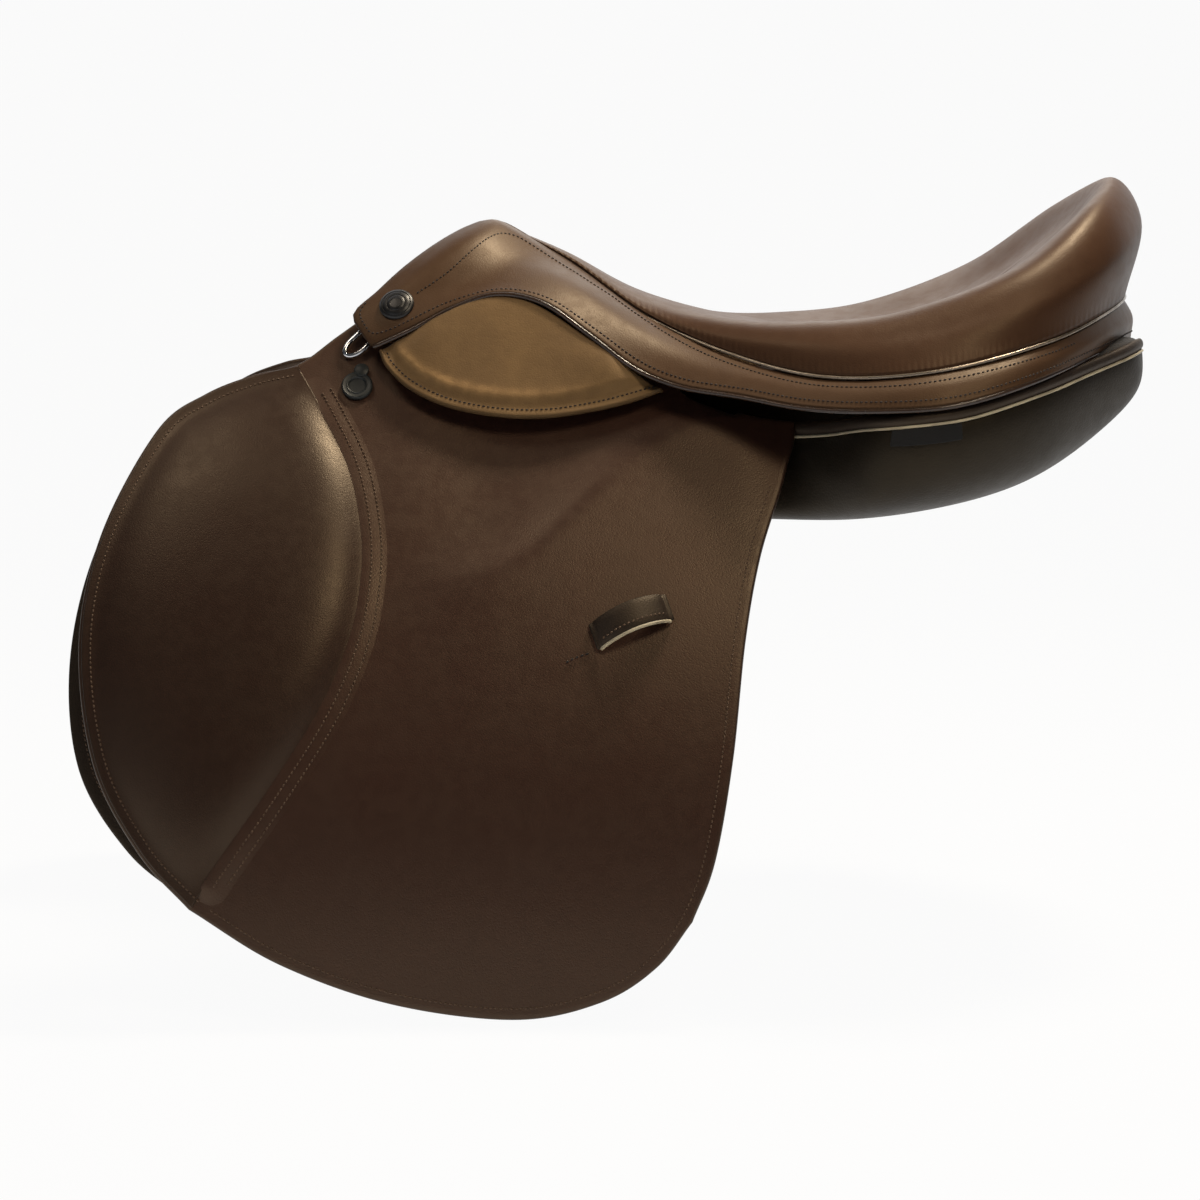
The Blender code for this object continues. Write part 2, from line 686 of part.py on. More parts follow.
def skirt_rails():
    """The skirt's upper rail beside the welt, its swollen middle and its lower edge."""
    seam = seam_line(2 * WELT_RADIUS + 3 * SEAM_CLEARANCE)
    upper = evenly([*SKIRT_HEAD, *seam[1:]], SKIRT_ROWS, True)
    lower = evenly(SKIRT_EDGE, SKIRT_ROWS, True)
    middle = []
    for a, b in zip(upper, lower):
        across = b - a
        outward = Vector((0, -across.z, across.y)).normalized()
        middle.append(a.lerp(b, 0.5) + outward * SKIRT_SWELL * across.length)
    middle[-1].x = max(upper[-1].x, lower[-1].x) + 0.0005
    middle[-1].y = 0.0
    return upper, middle, lower


def round_the_cantle(line):
    """One line for both sides from the off half that ends on the centre plane."""
    return [sided(p, -1) for p in line] + list(reversed(line[:-1]))


def build_skirts(group):
    """The two skirts, the seat welt and the light piping under the skirts' edge."""
    upper, middle, lower = skirt_rails()
    for side_name, side in SIDES:
        grid = []
        for row in zip(upper, middle, lower):
            line = [through(row, j / (SKIRT_COLUMNS - 1)) for j in range(SKIRT_COLUMNS)]
            grid.append([sided((p.x, max(p.y, MIDDLE_GAP), p.z), side) for p in line])
        name = f"skirt_{side_name}"
        skirt = add_object(name, grid_mesh(name, grid, (0, side, 0.4)), group, "skirt_leather")
        add_shell(skirt, SKIRT_THICKNESS)
    seam = seam_line(WELT_RADIUS + SEAM_CLEARANCE)[1:]
    add_wire("seat_welt", round_the_cantle(seam), WELT_RADIUS, group, "welt")
    line = []
    for i, (inside, edge) in enumerate(zip(middle, lower)):
        ahead = (lower[min(i + 1, SKIRT_ROWS - 1)] - lower[max(i - 1, 0)]).normalized()
        down = (edge - inside).normalized()
        outward = ahead.cross(down).normalized()
        line.append(edge + (SKIRT_PIPING_RADIUS + GAP) * down - 0.5 * SKIRT_THICKNESS * outward)
    line[-1].y = 0.0
    add_wire("skirt_piping", round_the_cantle(line), SKIRT_PIPING_RADIUS, group, "piping")


def build_flaps(group, cutters):
    """The fixed flap top with its bar window, and the lifting flap."""
    for side_name, side in SIDES:
        upper_line, lower_line = (
            straight(*((x, lift_line(x) + away) for x in (FLAP_NOSE_X, FLAP_TAIL_X)))
            for away in (LIFT_GAP, -LIFT_GAP)
        )
        front = (*SHOULDER[::-1], upper_line[0])
        flat = coons(TOP_EDGE, upper_line, front, (*TAIL_EDGE, upper_line[-1]), 19, 7)
        name = f"flap_top_{side_name}"
        top = add_object(name, grid_mesh(name, laid(flat, 0, side), (0, side, 0)), group, "flap_leather")
        add_shell(top, FLAP_LEATHER)
        window = bpy.data.meshes.new(f"cut_window_{side_name}")
        work = bmesh.new()
        bmesh.ops.create_cube(work, size=1.0)
        length = BAR_REAR_X - BAR_FRONT_X + 2 * WINDOW_MARGIN_X
        bmesh.ops.scale(work, vec=(length, 2 * WINDOW_HALF, WINDOW_DEPTH), verts=work.verts)
        work.to_mesh(window)
        work.free()
        cutter = bpy.data.objects.new(window.name, window)
        cutter.matrix_world = frame_at(0.5 * (BAR_REAR_X + BAR_FRONT_X), BAR_HEIGHT, 0, side)
        as_cutter(cutter, cutters)
        add_cut(top, cutter)

        front = (lower_line[0], *FLAP_FRONT)
        flat = coons(lower_line, FLAP_BOTTOM, front, (lower_line[-1], *FLAP_REAR), 15, 13)
        name = f"flap_{side_name}"
        flap = add_object(name, grid_mesh(name, laid(flat, 0, side), (0, side, 0)), group, "flap_leather")
        add_shell(flap, FLAP_LEATHER)


def crown(u, v, fullness):
    """One in the middle of a grid, falling to zero at its edges."""
    return (1 - abs(2 * u - 1) ** fullness) * (1 - abs(2 * v - 1) ** fullness)


def build_knee_pads(group):
    """The crowned knee pads sewn on the lifting flaps."""
    top = straight(*((x, lift_line(x) - PAD_DROP) for x in (PAD_NOSE_X, PAD_SEAM_X)))
    end = straight(PAD_FRONT[-1], PAD_SEAM[-1])
    flat = coons(top, end, (top[0], *PAD_FRONT), (top[-1], *PAD_SEAM), 8, 14)
    for side_name, side in SIDES:
        outer = laid(flat, lambda u, v: LAYER_GAP + PAD_EDGE + PAD_CROWN * crown(u, v, PAD_FULLNESS), side)
        inner = laid(flat, LAYER_GAP, side)
        name = f"knee_pad_{side_name}"
        add_object(name, between_mesh(name, outer, inner), group, "pad_leather")


def jockey_out(u, v):
    """How far the jockey's outer face stands out of the flap's face."""
    ends = eased(JOCKEY_END_SLOPE * min(u, 1 - u))
    top = JOCKEY_TIP_PROUD + (JOCKEY_PROUD - JOCKEY_TIP_PROUD) * ends
    return top + (JOCKEY_REST - top) * eased(v) ** JOCKEY_FALL


def jockey_in(u, v):
    """How far the jockey's padded inner face stands out of the flap's face."""
    return jockey_out(u, v) - JOCKEY_LEATHER - JOCKEY_PADDING * crown(u, v, JOCKEY_FULLNESS)


def build_jockeys(group):
    """The padded leaves over the stirrup bars."""
    under = [(x, BAR_HEIGHT - drop) for x, drop in JOCKEY_DROP]
    flat = lens(JOCKEY_UPPER, (*JOCKEY_FRONT, *under, JOCKEY_UPPER[-1]), 15, 7)
    for side_name, side in SIDES:
        outer = laid(flat, jockey_out, side)
        inner = laid(flat, jockey_in, side)
        name = f"jockey_{side_name}"
        add_object(name, between_mesh(name, outer, inner), group, "skirt_leather")


def keeper_rows(side, edges, lift=0.0):
    """Rows from the keeper's front end to its rear end, each at the given distances across it."""
    start, end = Vector(KEEPER_START), Vector(KEEPER_END)
    run = (end - start).normalized()
    across = Vector((-run.y, run.x))
    grid = []
    for share in np.linspace(0.0, 1.0, KEEPER_ROWS):
        rise = min(1.0, KEEPER_SLOPE * max(min(share, 1 - share) - KEEPER_SEWN, 0.0))
        middle = start.lerp(end, share)
        line = []
        for edge in edges:
            p = middle + across * edge
            out = LAYER_GAP + KEEPER_LEATHER + KEEPER_RISE * rise + lift
            line.append(sided(lay(p.x, p.y, out), side))
        grid.append(line)
    return grid


def build_keepers(group):
    """The open keeper loops on the flaps and their light lower piping."""
    for side_name, side in SIDES:
        name = f"keeper_{side_name}"
        rows = keeper_rows(side, (0.5 * KEEPER_WIDTH, -0.5 * KEEPER_WIDTH))
        keeper = add_object(name, grid_mesh(name, rows, (0, side, 0)), group, "under_leather")
        add_shell(keeper, KEEPER_LEATHER)
        below = 0.5 * KEEPER_WIDTH + GAP + KEEPER_PIPING_RADIUS
        line = [row[0] for row in keeper_rows(side, (-below,), -0.5 * KEEPER_LEATHER)]
        add_wire(f"keeper_piping_{side_name}", line, KEEPER_PIPING_RADIUS, group, "piping")


def build_under_layers(group):
    """Sweat flaps and the knee blocks on them."""
    flat = coons(SWEAT_TOP, SWEAT_BOTTOM, SWEAT_FRONT, SWEAT_REAR, 11, 9)
    top, end = (straight(BLOCK_FRONT[k], BLOCK_REAR[k]) for k in (0, -1))
    block = coons(top, end, BLOCK_FRONT, BLOCK_REAR, 5, 9)
    room = SWEAT_DEPTH - FLAP_LEATHER - 2 * LAYER_GAP - BLOCK_EDGE
    for side_name, side in SIDES:
        name = f"sweat_flap_{side_name}"
        mesh = grid_mesh(name, laid(flat, -SWEAT_DEPTH, side), (0, side, 0))
        sweat = add_object(name, mesh, group, "under_leather")
        add_shell(sweat, SWEAT_LEATHER)
        floor = -SWEAT_DEPTH + LAYER_GAP
        outer = laid(block, lambda u, v: floor + BLOCK_EDGE + room * crown(u, v, BLOCK_FULLNESS), side)
        name = f"knee_block_{side_name}"
        add_object(name, between_mesh(name, outer, laid(block, floor, side)), group, "under_leather")


def add_strap(name, x, side, group, cutters):
    """One girth strap on its curve, with a row of holes and a pointed end."""
    half = 0.5 * STRAP_WIDTH
    heights = [STRAP_TOP + (STRAP_END - STRAP_TOP) * k / STRAP_ROWS for k in range(STRAP_ROWS + 1)]
    grid = []
    for k, z in enumerate(heights):
        width = half * (STRAP_POINT if k == STRAP_ROWS else 1.0)
        grid.append([sided(lay(x + width * j, z, -STRAP_DEPTH), side) for j in (-1, 1)])
    strap = add_object(name, grid_mesh(name, grid, (0, side, 0)), group, "strap_leather")
    add_shell(strap, STRAP_LEATHER)
    work = bmesh.new()
    for k in range(STRAP_HOLES):
        place = frame_at(x, FIRST_HOLE - k * HOLE_PITCH, -STRAP_DEPTH - 0.5 * STRAP_LEATHER, side)
        bmesh.ops.create_cone(
            work, cap_ends=True, segments=6, radius1=HOLE_RADIUS, radius2=HOLE_RADIUS,
            depth=3 * STRAP_LEATHER, matrix=place,
        )
    mesh = bpy.data.meshes.new("cut_" + name)
    work.to_mesh(mesh)
    work.free()
    cutter = bpy.data.objects.new(mesh.name, mesh)
    as_cutter(cutter, cutters)
    add_cut(strap, cutter)


def build_girth(group, cutters):
    """Girth webs on the tree and three straps a side."""
    for side_name, side in SIDES:
        grid = []
        for x in np.linspace(GIRTH_WEB_FRONT, GIRTH_WEB_REAR, 5):
            heights = np.linspace(GIRTH_WEB_TOP, GIRTH_WEB_END, 5)
            grid.append([sided(lay(x, z, WEB_THICKNESS - GIRTH_WEB_OUT), side) for z in heights])
        name = f"girth_web_{side_name}"
        web = add_object(name, grid_mesh(name, grid, (0, side, 0)), group, "webbing")
        add_shell(web, WEB_THICKNESS)
        for number, x in enumerate(STRAP_PLACES, 1):
            add_strap(f"girth_strap_{number}_{side_name}", x, side, group, cutters)


def bar_outline():
    """The bar's outline along the saddle (x) and out of its face (y)."""
    foot = -HEAD_DEPTH + LAYER_GAP
    plate = foot + BAR_PLATE
    rod_in = plate + BAR_THROAT
    rod_out = rod_in + BAR_ROD
    outline = [(BAR_REAR_X, foot), (BAR_REAR_X, plate)]
    turn = 0.5 * BAR_THROAT
    centre = (BAR_FRONT_X + BAR_ROD + turn, plate + turn)
    for k in range(7):
        angle = math.radians(270 - 30 * k)
        outline.append((centre[0] + turn * math.cos(angle), centre[1] + turn * math.sin(angle)))
    outline += [(ROD_END_X, rod_in), (ROD_END_X, rod_out)]
    bend = turn + BAR_ROD
    for k in range(7):
        angle = math.radians(90 + 30 * k)
        outline.append((centre[0] + bend * math.cos(angle), centre[1] + bend * math.sin(angle)))
    outline[-1] = (outline[-1][0], foot)
    return outline, rod_in


def catch_outline():
    """The catch's outline round its pin (round end) and out along the bar (upturned tip)."""
    half = 0.5 * CATCH_WIDTH
    nose = CATCH_LENGTH - half
    shape = [(CATCH_LENGTH, half), (0.0, half)]
    for turn in (45, 90, 135):
        shape.append((-half * math.sin(math.radians(turn)), half * math.cos(math.radians(turn))))
    shape += [(0.0, -half), (nose, -half)]
    for turn in (30, 60):
        angle = math.radians(turn)
        shape.append((nose + CATCH_BEAK * math.sin(angle), -half * math.cos(angle)))
    return shape


def plate_mesh(name, outline, height):
    """A flat outline given a height, centred on its plane."""
    work = bmesh.new()
    low = [work.verts.new((x, -0.5 * height, z)) for x, z in outline]
    face = work.faces.new(low)
    grown = bmesh.ops.extrude_face_region(work, geom=[face])
    tops = [v for v in grown["geom"] if isinstance(v, bmesh.types.BMVert)]
    bmesh.ops.translate(work, verts=tops, vec=(0, height, 0))
    bmesh.ops.recalc_face_normals(work, faces=work.faces)
    mesh = bpy.data.meshes.new(name)
    work.to_mesh(mesh)
    work.free()
    return mesh


def round_mesh(name, radius, depth, segments, place):
    """A round pin or disc along the local Z of a placing matrix."""
    work = bmesh.new()
    bmesh.ops.create_cone(
        work, cap_ends=True, segments=segments, radius1=radius, radius2=radius, depth=depth, matrix=place
    )
    mesh = bpy.data.meshes.new(name)
    work.to_mesh(mesh)
    work.free()
    return mesh


def build_bars(group, cutters):
    """Stirrup bars with their forked end, catch and pin."""
    outline, rod_in = bar_outline()
    rod_middle = rod_in + 0.5 * BAR_ROD
    pin_x = ROD_END_X - 0.5 * FORK_LENGTH
    for side_name, side in SIDES:
        place = frame_at(0.0, BAR_HEIGHT, 0.0, side)
        name = f"stirrup_bar_{side_name}"
        bar = add_object(name, plate_mesh(name, outline, BAR_WIDTH), group, "steel", False)
        bar.matrix_world = place
        slot = CATCH_THICKNESS + 2 * CATCH_CLEARANCE
        work = bmesh.new()
        bmesh.ops.create_cube(work, size=1.0)
        bmesh.ops.scale(work, vec=(2 * FORK_LENGTH, 2 * BAR_WIDTH, slot), verts=work.verts)
        bmesh.ops.translate(work, vec=(ROD_END_X, 0, rod_middle), verts=work.verts)
        mesh = bpy.data.meshes.new(f"cut_fork_{side_name}")
        work.to_mesh(mesh)
        work.free()
        fork = bpy.data.objects.new(mesh.name, mesh)
        fork.matrix_world = place
        as_cutter(fork, cutters)
        add_cut(bar, fork)
        pivot = place @ Matrix.Translation((pin_x, 0, rod_middle))
        name = f"catch_pin_{side_name}"
        pin = add_object(name, round_mesh(name, PIN_RADIUS, BAR_ROD, ROUND_STEPS, Matrix()), group, "steel")
        pin.matrix_world = pivot
        name = f"bar_catch_{side_name}"
        mesh = plate_mesh(name, catch_outline(), CATCH_THICKNESS)
        mesh.transform(Matrix.Rotation(math.radians(90), 4, "X"))
        catch = add_object(name, mesh, group, "steel", False)
        catch.matrix_world = pivot
        bore_radius = PIN_RADIUS + CATCH_CLEARANCE
        mesh = round_mesh(f"cut_pin_{side_name}", bore_radius, 2 * BAR_ROD, ROUND_STEPS, Matrix())
        bore = bpy.data.objects.new(mesh.name, mesh)
        bore.matrix_world = pivot
        as_cutter(bore, cutters)
        for pierced in (bar, catch):
            add_cut(pierced, bore)


def ring_frame(side):
    """The middle of the ring's bar, its direction, the way the ring hangs, the way out, half its length."""
    a = sided(lay(*RING_AXIS_FRONT, RING_OUT), side)
    b = sided(lay(*RING_AXIS_REAR, RING_OUT), side)
    bar = (b - a).normalized()
    normal = side_normal(0.5 * (RING_AXIS_FRONT[1] + RING_AXIS_REAR[1]))
    outward = Vector((0, side * normal.x, normal.y))
    outward = (outward - bar * outward.dot(bar)).normalized()
    hang = bar.cross(outward) * -side
    return a.lerp(b, 0.5), bar, hang, outward, 0.5 * (b - a).length


def build_rings(group):
    """Front rings and the staples that hold them."""
    for side_name, side in SIDES:
        middle, bar, hang, outward, half = ring_frame(side)
        leg = RING_STRAIGHT * RING_LENGTH
        local = [(-half, 0), (half, 0), (half, leg)]
        for angle in (30, 60, 90, 120, 150):
            t = math.radians(angle)
            local.append((half * math.cos(t), leg + (RING_LENGTH - leg) * math.sin(t)))
        local.append((-half, leg))
        points = [bar * p + hang * q for p, q in local]
        ring = add_wire(f"front_ring_{side_name}", points, RING_WIRE, group, "chrome", True)
        ring.location = middle
        reach = RING_WIRE + STAPLE_WIRE + GAP
        foot = RING_OUT - GAP
        shoulder = STAPLE_SHOULDER * reach
        shape = [(-reach, -foot), (-reach, shoulder)]
        for angle in (135, 90, 45):
            t = math.radians(angle)
            shape.append((reach * math.cos(t), shoulder + reach * math.sin(t)))
        shape += [(reach, shoulder), (reach, -foot)]
        points = [middle + hang * p + outward * q for p, q in shape]
        add_wire(f"ring_staple_{side_name}", points, STAPLE_WIRE, group, "steel")


def build_button(group, side_name, side, rows):
    """A domed button on the skirt's front corner."""
    upper, middle, lower = rows
    k = min(range(len(lower)), key=lambda i: abs(lower[i].x - BUTTON_X))
    row = (upper[k], middle[k], lower[k])
    spot, above, below = (through(row, BUTTON_ACROSS + step) for step in (0.0, -0.04, 0.04))
    down = (below - above).normalized()
    rear = (lower[k + 1] - lower[k - 1]).normalized()
    normal = rear.cross(down).normalized()
    if normal.y < 0:
        normal = -normal
    spot = sided(spot, side)
    normal = sided(normal, side)
    mesh = bpy.data.meshes.new(f"skirt_button_{side_name}")
    points = [(BUTTON_RADIUS * r, 0, BUTTON_HEIGHT * z) for r, z in BUTTON_PROFILE]
    mesh.from_pydata(points, [(i, i + 1) for i in range(len(points) - 1)], [])
    button = add_object(f"skirt_button_{side_name}", mesh, group, "rubber")
    turn = button.modifiers.new("turn", "SCREW")
    turn.axis = "Z"
    turn.steps = turn.render_steps = DISC_STEPS
    turn.use_merge_vertices = True
    turn.merge_threshold = 0.0001
    turn.use_smooth_shade = True
    rotation = normal.to_track_quat("Z", "Y").to_matrix().to_4x4()
    button.matrix_world = Matrix.Translation(spot + normal * 2 * GAP) @ rotation


def build_trim(group):
    """The buttons and the near side's bare tag."""
    rows = skirt_rails()
    for side_name, side in SIDES:
        build_button(group, side_name, side, rows)
    place = frame_at(*TAG_PLACE, LAYER_GAP + 0.5 * TAG_THICKNESS, -1)
    mesh = round_mesh("front_tag", TAG_RADIUS, TAG_THICKNESS, DISC_STEPS, Matrix())
    tag = add_object("front_tag", mesh, group, "rubber")
    tag.matrix_world = place


def build_panels(group):
    """The two cushioned panels."""
    for side_name, side in SIDES:
        work = bmesh.new()
        rings = []
        for x, corners in PANEL_CAGE:
            rings.append([work.verts.new((x, side * y, z)) for y, z in corners])
        count = len(rings[0])
        for a, b in zip(rings, rings[1:]):
            for k in range(count):
                m = (k + 1) % count
                work.faces.new((a[k], a[m], b[m], b[k]))
        for ring in (rings[0], rings[-1]):
            work.faces.new((ring[0], ring[1], ring[4], ring[5]))
            work.faces.new((ring[1], ring[2], ring[3], ring[4]))
        bmesh.ops.recalc_face_normals(work, faces=work.faces)
        mesh = bpy.data.meshes.new(f"panel_{side_name}")
        work.to_mesh(mesh)
        work.free()
        panel = add_object(f"panel_{side_name}", mesh, group, "panel_leather")
        soft = panel.modifiers.new("soft", "SUBSURF")
        soft.levels = soft.render_levels = 2


def on_panel(panel, spot, out):
    """The point over a panel's cover nearest to a spot, moved out by out."""
    _, place, normal, _ = panel.closest_point_on_mesh(spot)
    return place + normal * out


def build_facings(group):
    """The facing bands and the light piping along the panels, and the near side's bare tab."""
    bpy.context.view_layer.update()
    graph = bpy.context.evaluated_depsgraph_get()
    above_edge = PANEL_PIPING_RADIUS + FACING_GAP
    for side_name, side in SIDES:
        panel = bpy.data.objects[f"panel_{side_name}"].evaluated_get(graph)
        guide = [sided(p, side) for p in evenly(FACING_EDGE, FACING_ROWS)]
        piping = [on_panel(panel, p, above_edge) for p in guide]
        add_wire(f"panel_piping_{side_name}", piping, PANEL_PIPING_RADIUS, group, "piping")
        layers = []
        for out in (FACING_GAP + FACING_LEATHER, FACING_GAP):
            levels = [above_edge + FACING_HEIGHT * k / 2 for k in range(3)]
            rises = [Vector((0, 0, level)) for level in levels]
            layers.append([[on_panel(panel, p + rise, out) for rise in rises] for p in guide])
        name = f"panel_facing_{side_name}"
        add_object(name, between_mesh(name, *layers), group, "strap_leather")
    panel = bpy.data.objects["panel_near"].evaluated_get(graph)
    lengths, widths, heights = zip(*evenly(FACING_EDGE, 4 * FACING_ROWS))
    layers = []
    for out in (FACING_GAP + TAB_THICKNESS, FACING_GAP):
        layers.append([])
        for x in np.linspace(TAB_FRONT, TAB_FRONT + TAB_LENGTH, 5):
            height = np.interp(x, lengths, heights) - above_edge
            spot = Vector((x, -np.interp(x, lengths, widths), height))
            drops = [Vector((0, 0, TAB_HEIGHT * k / 2)) for k in range(3)]
            layers[-1].append([on_panel(panel, spot - drop, out) for drop in drops])
    add_object("rear_tab", between_mesh("rear_tab", *layers), group, "rubber")


def flap_axis(side):
    """A point on the flap's bend line and the line's forward direction, just outside its leather."""
    nose = sided(lay(FLAP_NOSE_X, lift_line(FLAP_NOSE_X), LIFT_GAP), side)
    tail = sided(lay(FLAP_TAIL_X, lift_line(FLAP_TAIL_X), LIFT_GAP), side)
    return nose.lerp(tail, 0.5), (nose - tail).normalized()


def jockey_axis(side):
    """The point over the jockey's highest edge on which it lifts; the axis runs along the saddle."""
    top = max(JOCKEY_UPPER, key=lambda spot: spot[1])
    return sided(lay(*top, JOCKEY_PROUD + JOCKEY_AXIS_OUT), side)


def strap_axis(x, side):
    """The point on a girth strap's top about which it swings; the axis runs across the saddle."""
    return sided(lay(x, STRAP_TOP, -STRAP_DEPTH - 0.5 * STRAP_LEATHER), side)


def hang_on(name, place, group, pieces):
    """Parent pieces to an empty on their joint's axis."""
    pivot = bpy.data.objects.new(name, None)
    pivot.empty_display_size = PIVOT_SIZE
    pivot.location = place
    group.objects.link(pivot)
    for piece in pieces:
        obj = bpy.data.objects[piece]
        obj.parent = pivot
        obj.matrix_parent_inverse = Matrix.Translation(place).inverted()


def hang_moving_pieces(group):
    """Give the flaps, jockeys and girth straps their pivots; rings and catches have their origins there."""
    for side_name, side in SIDES:
        flap = [f"{piece}_{side_name}" for piece in ("flap", "knee_pad", "keeper", "keeper_piping")]
        hang_on(f"flap_pivot_{side_name}", flap_axis(side)[0], group, flap)
        hang_on(f"jockey_pivot_{side_name}", jockey_axis(side), group, [f"jockey_{side_name}"])
        for number, x in enumerate(STRAP_PLACES, 1):
            strap = f"girth_strap_{number}_{side_name}"
            hang_on(f"strap_pivot_{number}_{side_name}", strap_axis(x, side), group, [strap])


def main():
    """Build the saddle from the inside out."""
    clear_scene()
    saddle = collection("close_contact_saddle")
    cutters = collection("cutters", hidden=True)
    build_seat(saddle)
    build_tree_head(saddle)
    build_skirts(saddle)
    build_flaps(saddle, cutters)
    build_knee_pads(saddle)
    build_jockeys(saddle)
    build_keepers(saddle)
    build_under_layers(saddle)
    build_girth(saddle, cutters)
    build_bars(saddle, cutters)
    build_rings(saddle)
    build_trim(saddle)
    build_panels(saddle)
    build_facings(saddle)
    hang_moving_pieces(saddle)


main()
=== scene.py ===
"""Dresses the packed close contact saddle: leather, cords, stitches, cushions, steel and a plain studio."""

import logging
import math
from collections.abc import Sequence
from dataclasses import dataclass, field
from enum import Enum

import bmesh
import bpy
import numpy as np
from mathutils import Matrix, Vector


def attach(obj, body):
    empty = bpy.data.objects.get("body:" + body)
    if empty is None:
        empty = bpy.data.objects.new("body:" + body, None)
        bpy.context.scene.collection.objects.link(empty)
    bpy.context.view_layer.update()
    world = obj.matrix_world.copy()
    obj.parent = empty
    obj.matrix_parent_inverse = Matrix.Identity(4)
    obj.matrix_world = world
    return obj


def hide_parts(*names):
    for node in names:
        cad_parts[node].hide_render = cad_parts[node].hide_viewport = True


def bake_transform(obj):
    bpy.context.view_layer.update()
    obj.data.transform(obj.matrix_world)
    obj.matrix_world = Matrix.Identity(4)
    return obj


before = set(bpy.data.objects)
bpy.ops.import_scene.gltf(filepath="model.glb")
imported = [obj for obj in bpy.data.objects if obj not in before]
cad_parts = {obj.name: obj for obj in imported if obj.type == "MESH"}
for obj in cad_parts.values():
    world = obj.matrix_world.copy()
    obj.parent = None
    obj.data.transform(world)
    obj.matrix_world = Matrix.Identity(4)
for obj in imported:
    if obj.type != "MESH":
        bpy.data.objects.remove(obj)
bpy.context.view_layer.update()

Grid = np.ndarray
Line = np.ndarray
Colour = tuple[float, float, float]
Spot = tuple[float, float, float]
Flat = tuple[tuple[float, float], ...]
Bent = tuple[Spot, ...]

LOG = logging.getLogger("saddle")
MIRROR = np.array((1.0, -1.0, 1.0))
TOUCH = 0.0001
WELD = 0.00001
SHARP = math.radians(50)


class Side(Enum):
    """The two sides of the saddle, by the sign of their Y."""

    NEAR = -1
    OFF = 1

    @property
    def label(self) -> str:
        """The word that the side's nodes end in."""
        return self.name.lower()

    def mirrored(self, points: Grid) -> Grid:
        """Points of the off side taken to this side."""
        return points * np.array((1.0, float(self.value), 1.0))


def eased(share: Grid) -> Grid:
    """A share held between zero and one, with a level start and end."""
    held = np.clip(share, 0.0, 1.0)
    return held * held * (3 - 2 * held)


def bell(distance: Grid, width: float) -> Grid:
    """One at no distance, falling smoothly to nothing over about three widths."""
    return np.exp(-((distance / width) ** 2))


def unit(vectors: Grid) -> Grid:
    """Vectors brought to a length of one."""
    return vectors / (np.linalg.norm(vectors, axis=-1, keepdims=True) + 1e-12)


def reach_along(line: Line) -> Line:
    """The distance run along a line up to each of its points."""
    return np.concatenate(([0.0], np.cumsum(np.linalg.norm(np.diff(line[:, :3], axis=0), axis=1))))


def ruled(a: Line, b: Line, columns: int) -> Grid:
    """A grid of straight rows from each point of one line to its partner on another."""
    share = np.linspace(0.0, 1.0, columns)[None, :, None]
    return a[:, None] * (1 - share) + b[:, None] * share


def through(points: Sequence[Sequence[float]], shares: Grid, squared: bool = False) -> Line:
    """Points at the given shares of the smooth curve through a list of points.

    Args:
        points: The points that the curve goes through.
        shares: Shares of the curve's own measure, from 0 to 1.
        squared: Whether the curve crosses the centre plane squarely at its last point.

    Returns:
        One row for each share.
    """
    spots = np.asarray(points, float)
    after = 2 * spots[-1] - spots[-2]
    if squared:
        after = spots[-2] * MIRROR
    spots = np.vstack((2 * spots[0] - spots[1], spots, after))
    spans = len(spots) - 3
    place = np.clip(shares, 0.0, 1.0) * spans
    k = np.minimum(place.astype(int), spans - 1)
    f = (place - k)[:, None]
    a, b, c, d = (spots[k + step] for step in range(4))
    return 0.5 * (2 * b + (c - a) * f + (2 * a - 5 * b + 4 * c - d) * f**2 + (3 * b - a - 3 * c + d) * f**3)


def evenly(points: Sequence[Sequence[float]], count: int, squared: bool = False) -> Line:
    """Points at even lengths along the smooth curve through a list of points.

    Args:
        points: The points that the curve goes through.
        count: How many points are wanted.
        squared: Whether the curve crosses the centre plane squarely at its last point.

    Returns:
        The points, one row each.
    """
    shares = np.linspace(0.0, 1.0, 16 * len(points))
    fine = through(points, shares, squared)
    reach = reach_along(fine)
    return through(points, np.interp(np.linspace(0.0, reach[-1], count), reach, shares), squared)


def resampled(line: Line, step: float) -> Line:
    """A line taken again at an even step in space; columns after the third are carried along."""
    reach = reach_along(line)
    places = np.linspace(0.0, reach[-1], max(int(round(reach[-1] / step)), 2) + 1)
    return np.stack([np.interp(places, reach, line[:, k]) for k in range(line.shape[1])], axis=1)


def part_way(line: Line, away: float) -> Line:
    """The point at a distance along a line; columns after the third are carried along."""
    reach = reach_along(line)
    return np.array([np.interp(away, reach, line[:, k]) for k in range(line.shape[1])])


def beside(line: Line, away: float) -> Line:
    """A flat line moved to its left by a distance, in its own plane."""
    run = unit(np.gradient(line, axis=0))
    return line + away * np.stack((-run[:, 1], run[:, 0]), axis=1)


def distance_to(line: Line, x: Grid, z: Grid) -> Grid:
    """How far each point of a flat grid lies from a flat line."""
    a, b = line[:-1], line[1:]
    along = b - a
    points = np.stack((x.ravel(), z.ravel()), axis=1)[:, None, :]
    share = np.clip(((points - a) * along).sum(-1) / (along**2).sum(-1), 0.0, 1.0)
    nearest = a + share[..., None] * along
    return np.linalg.norm(points - nearest, axis=-1).min(axis=1).reshape(x.shape)


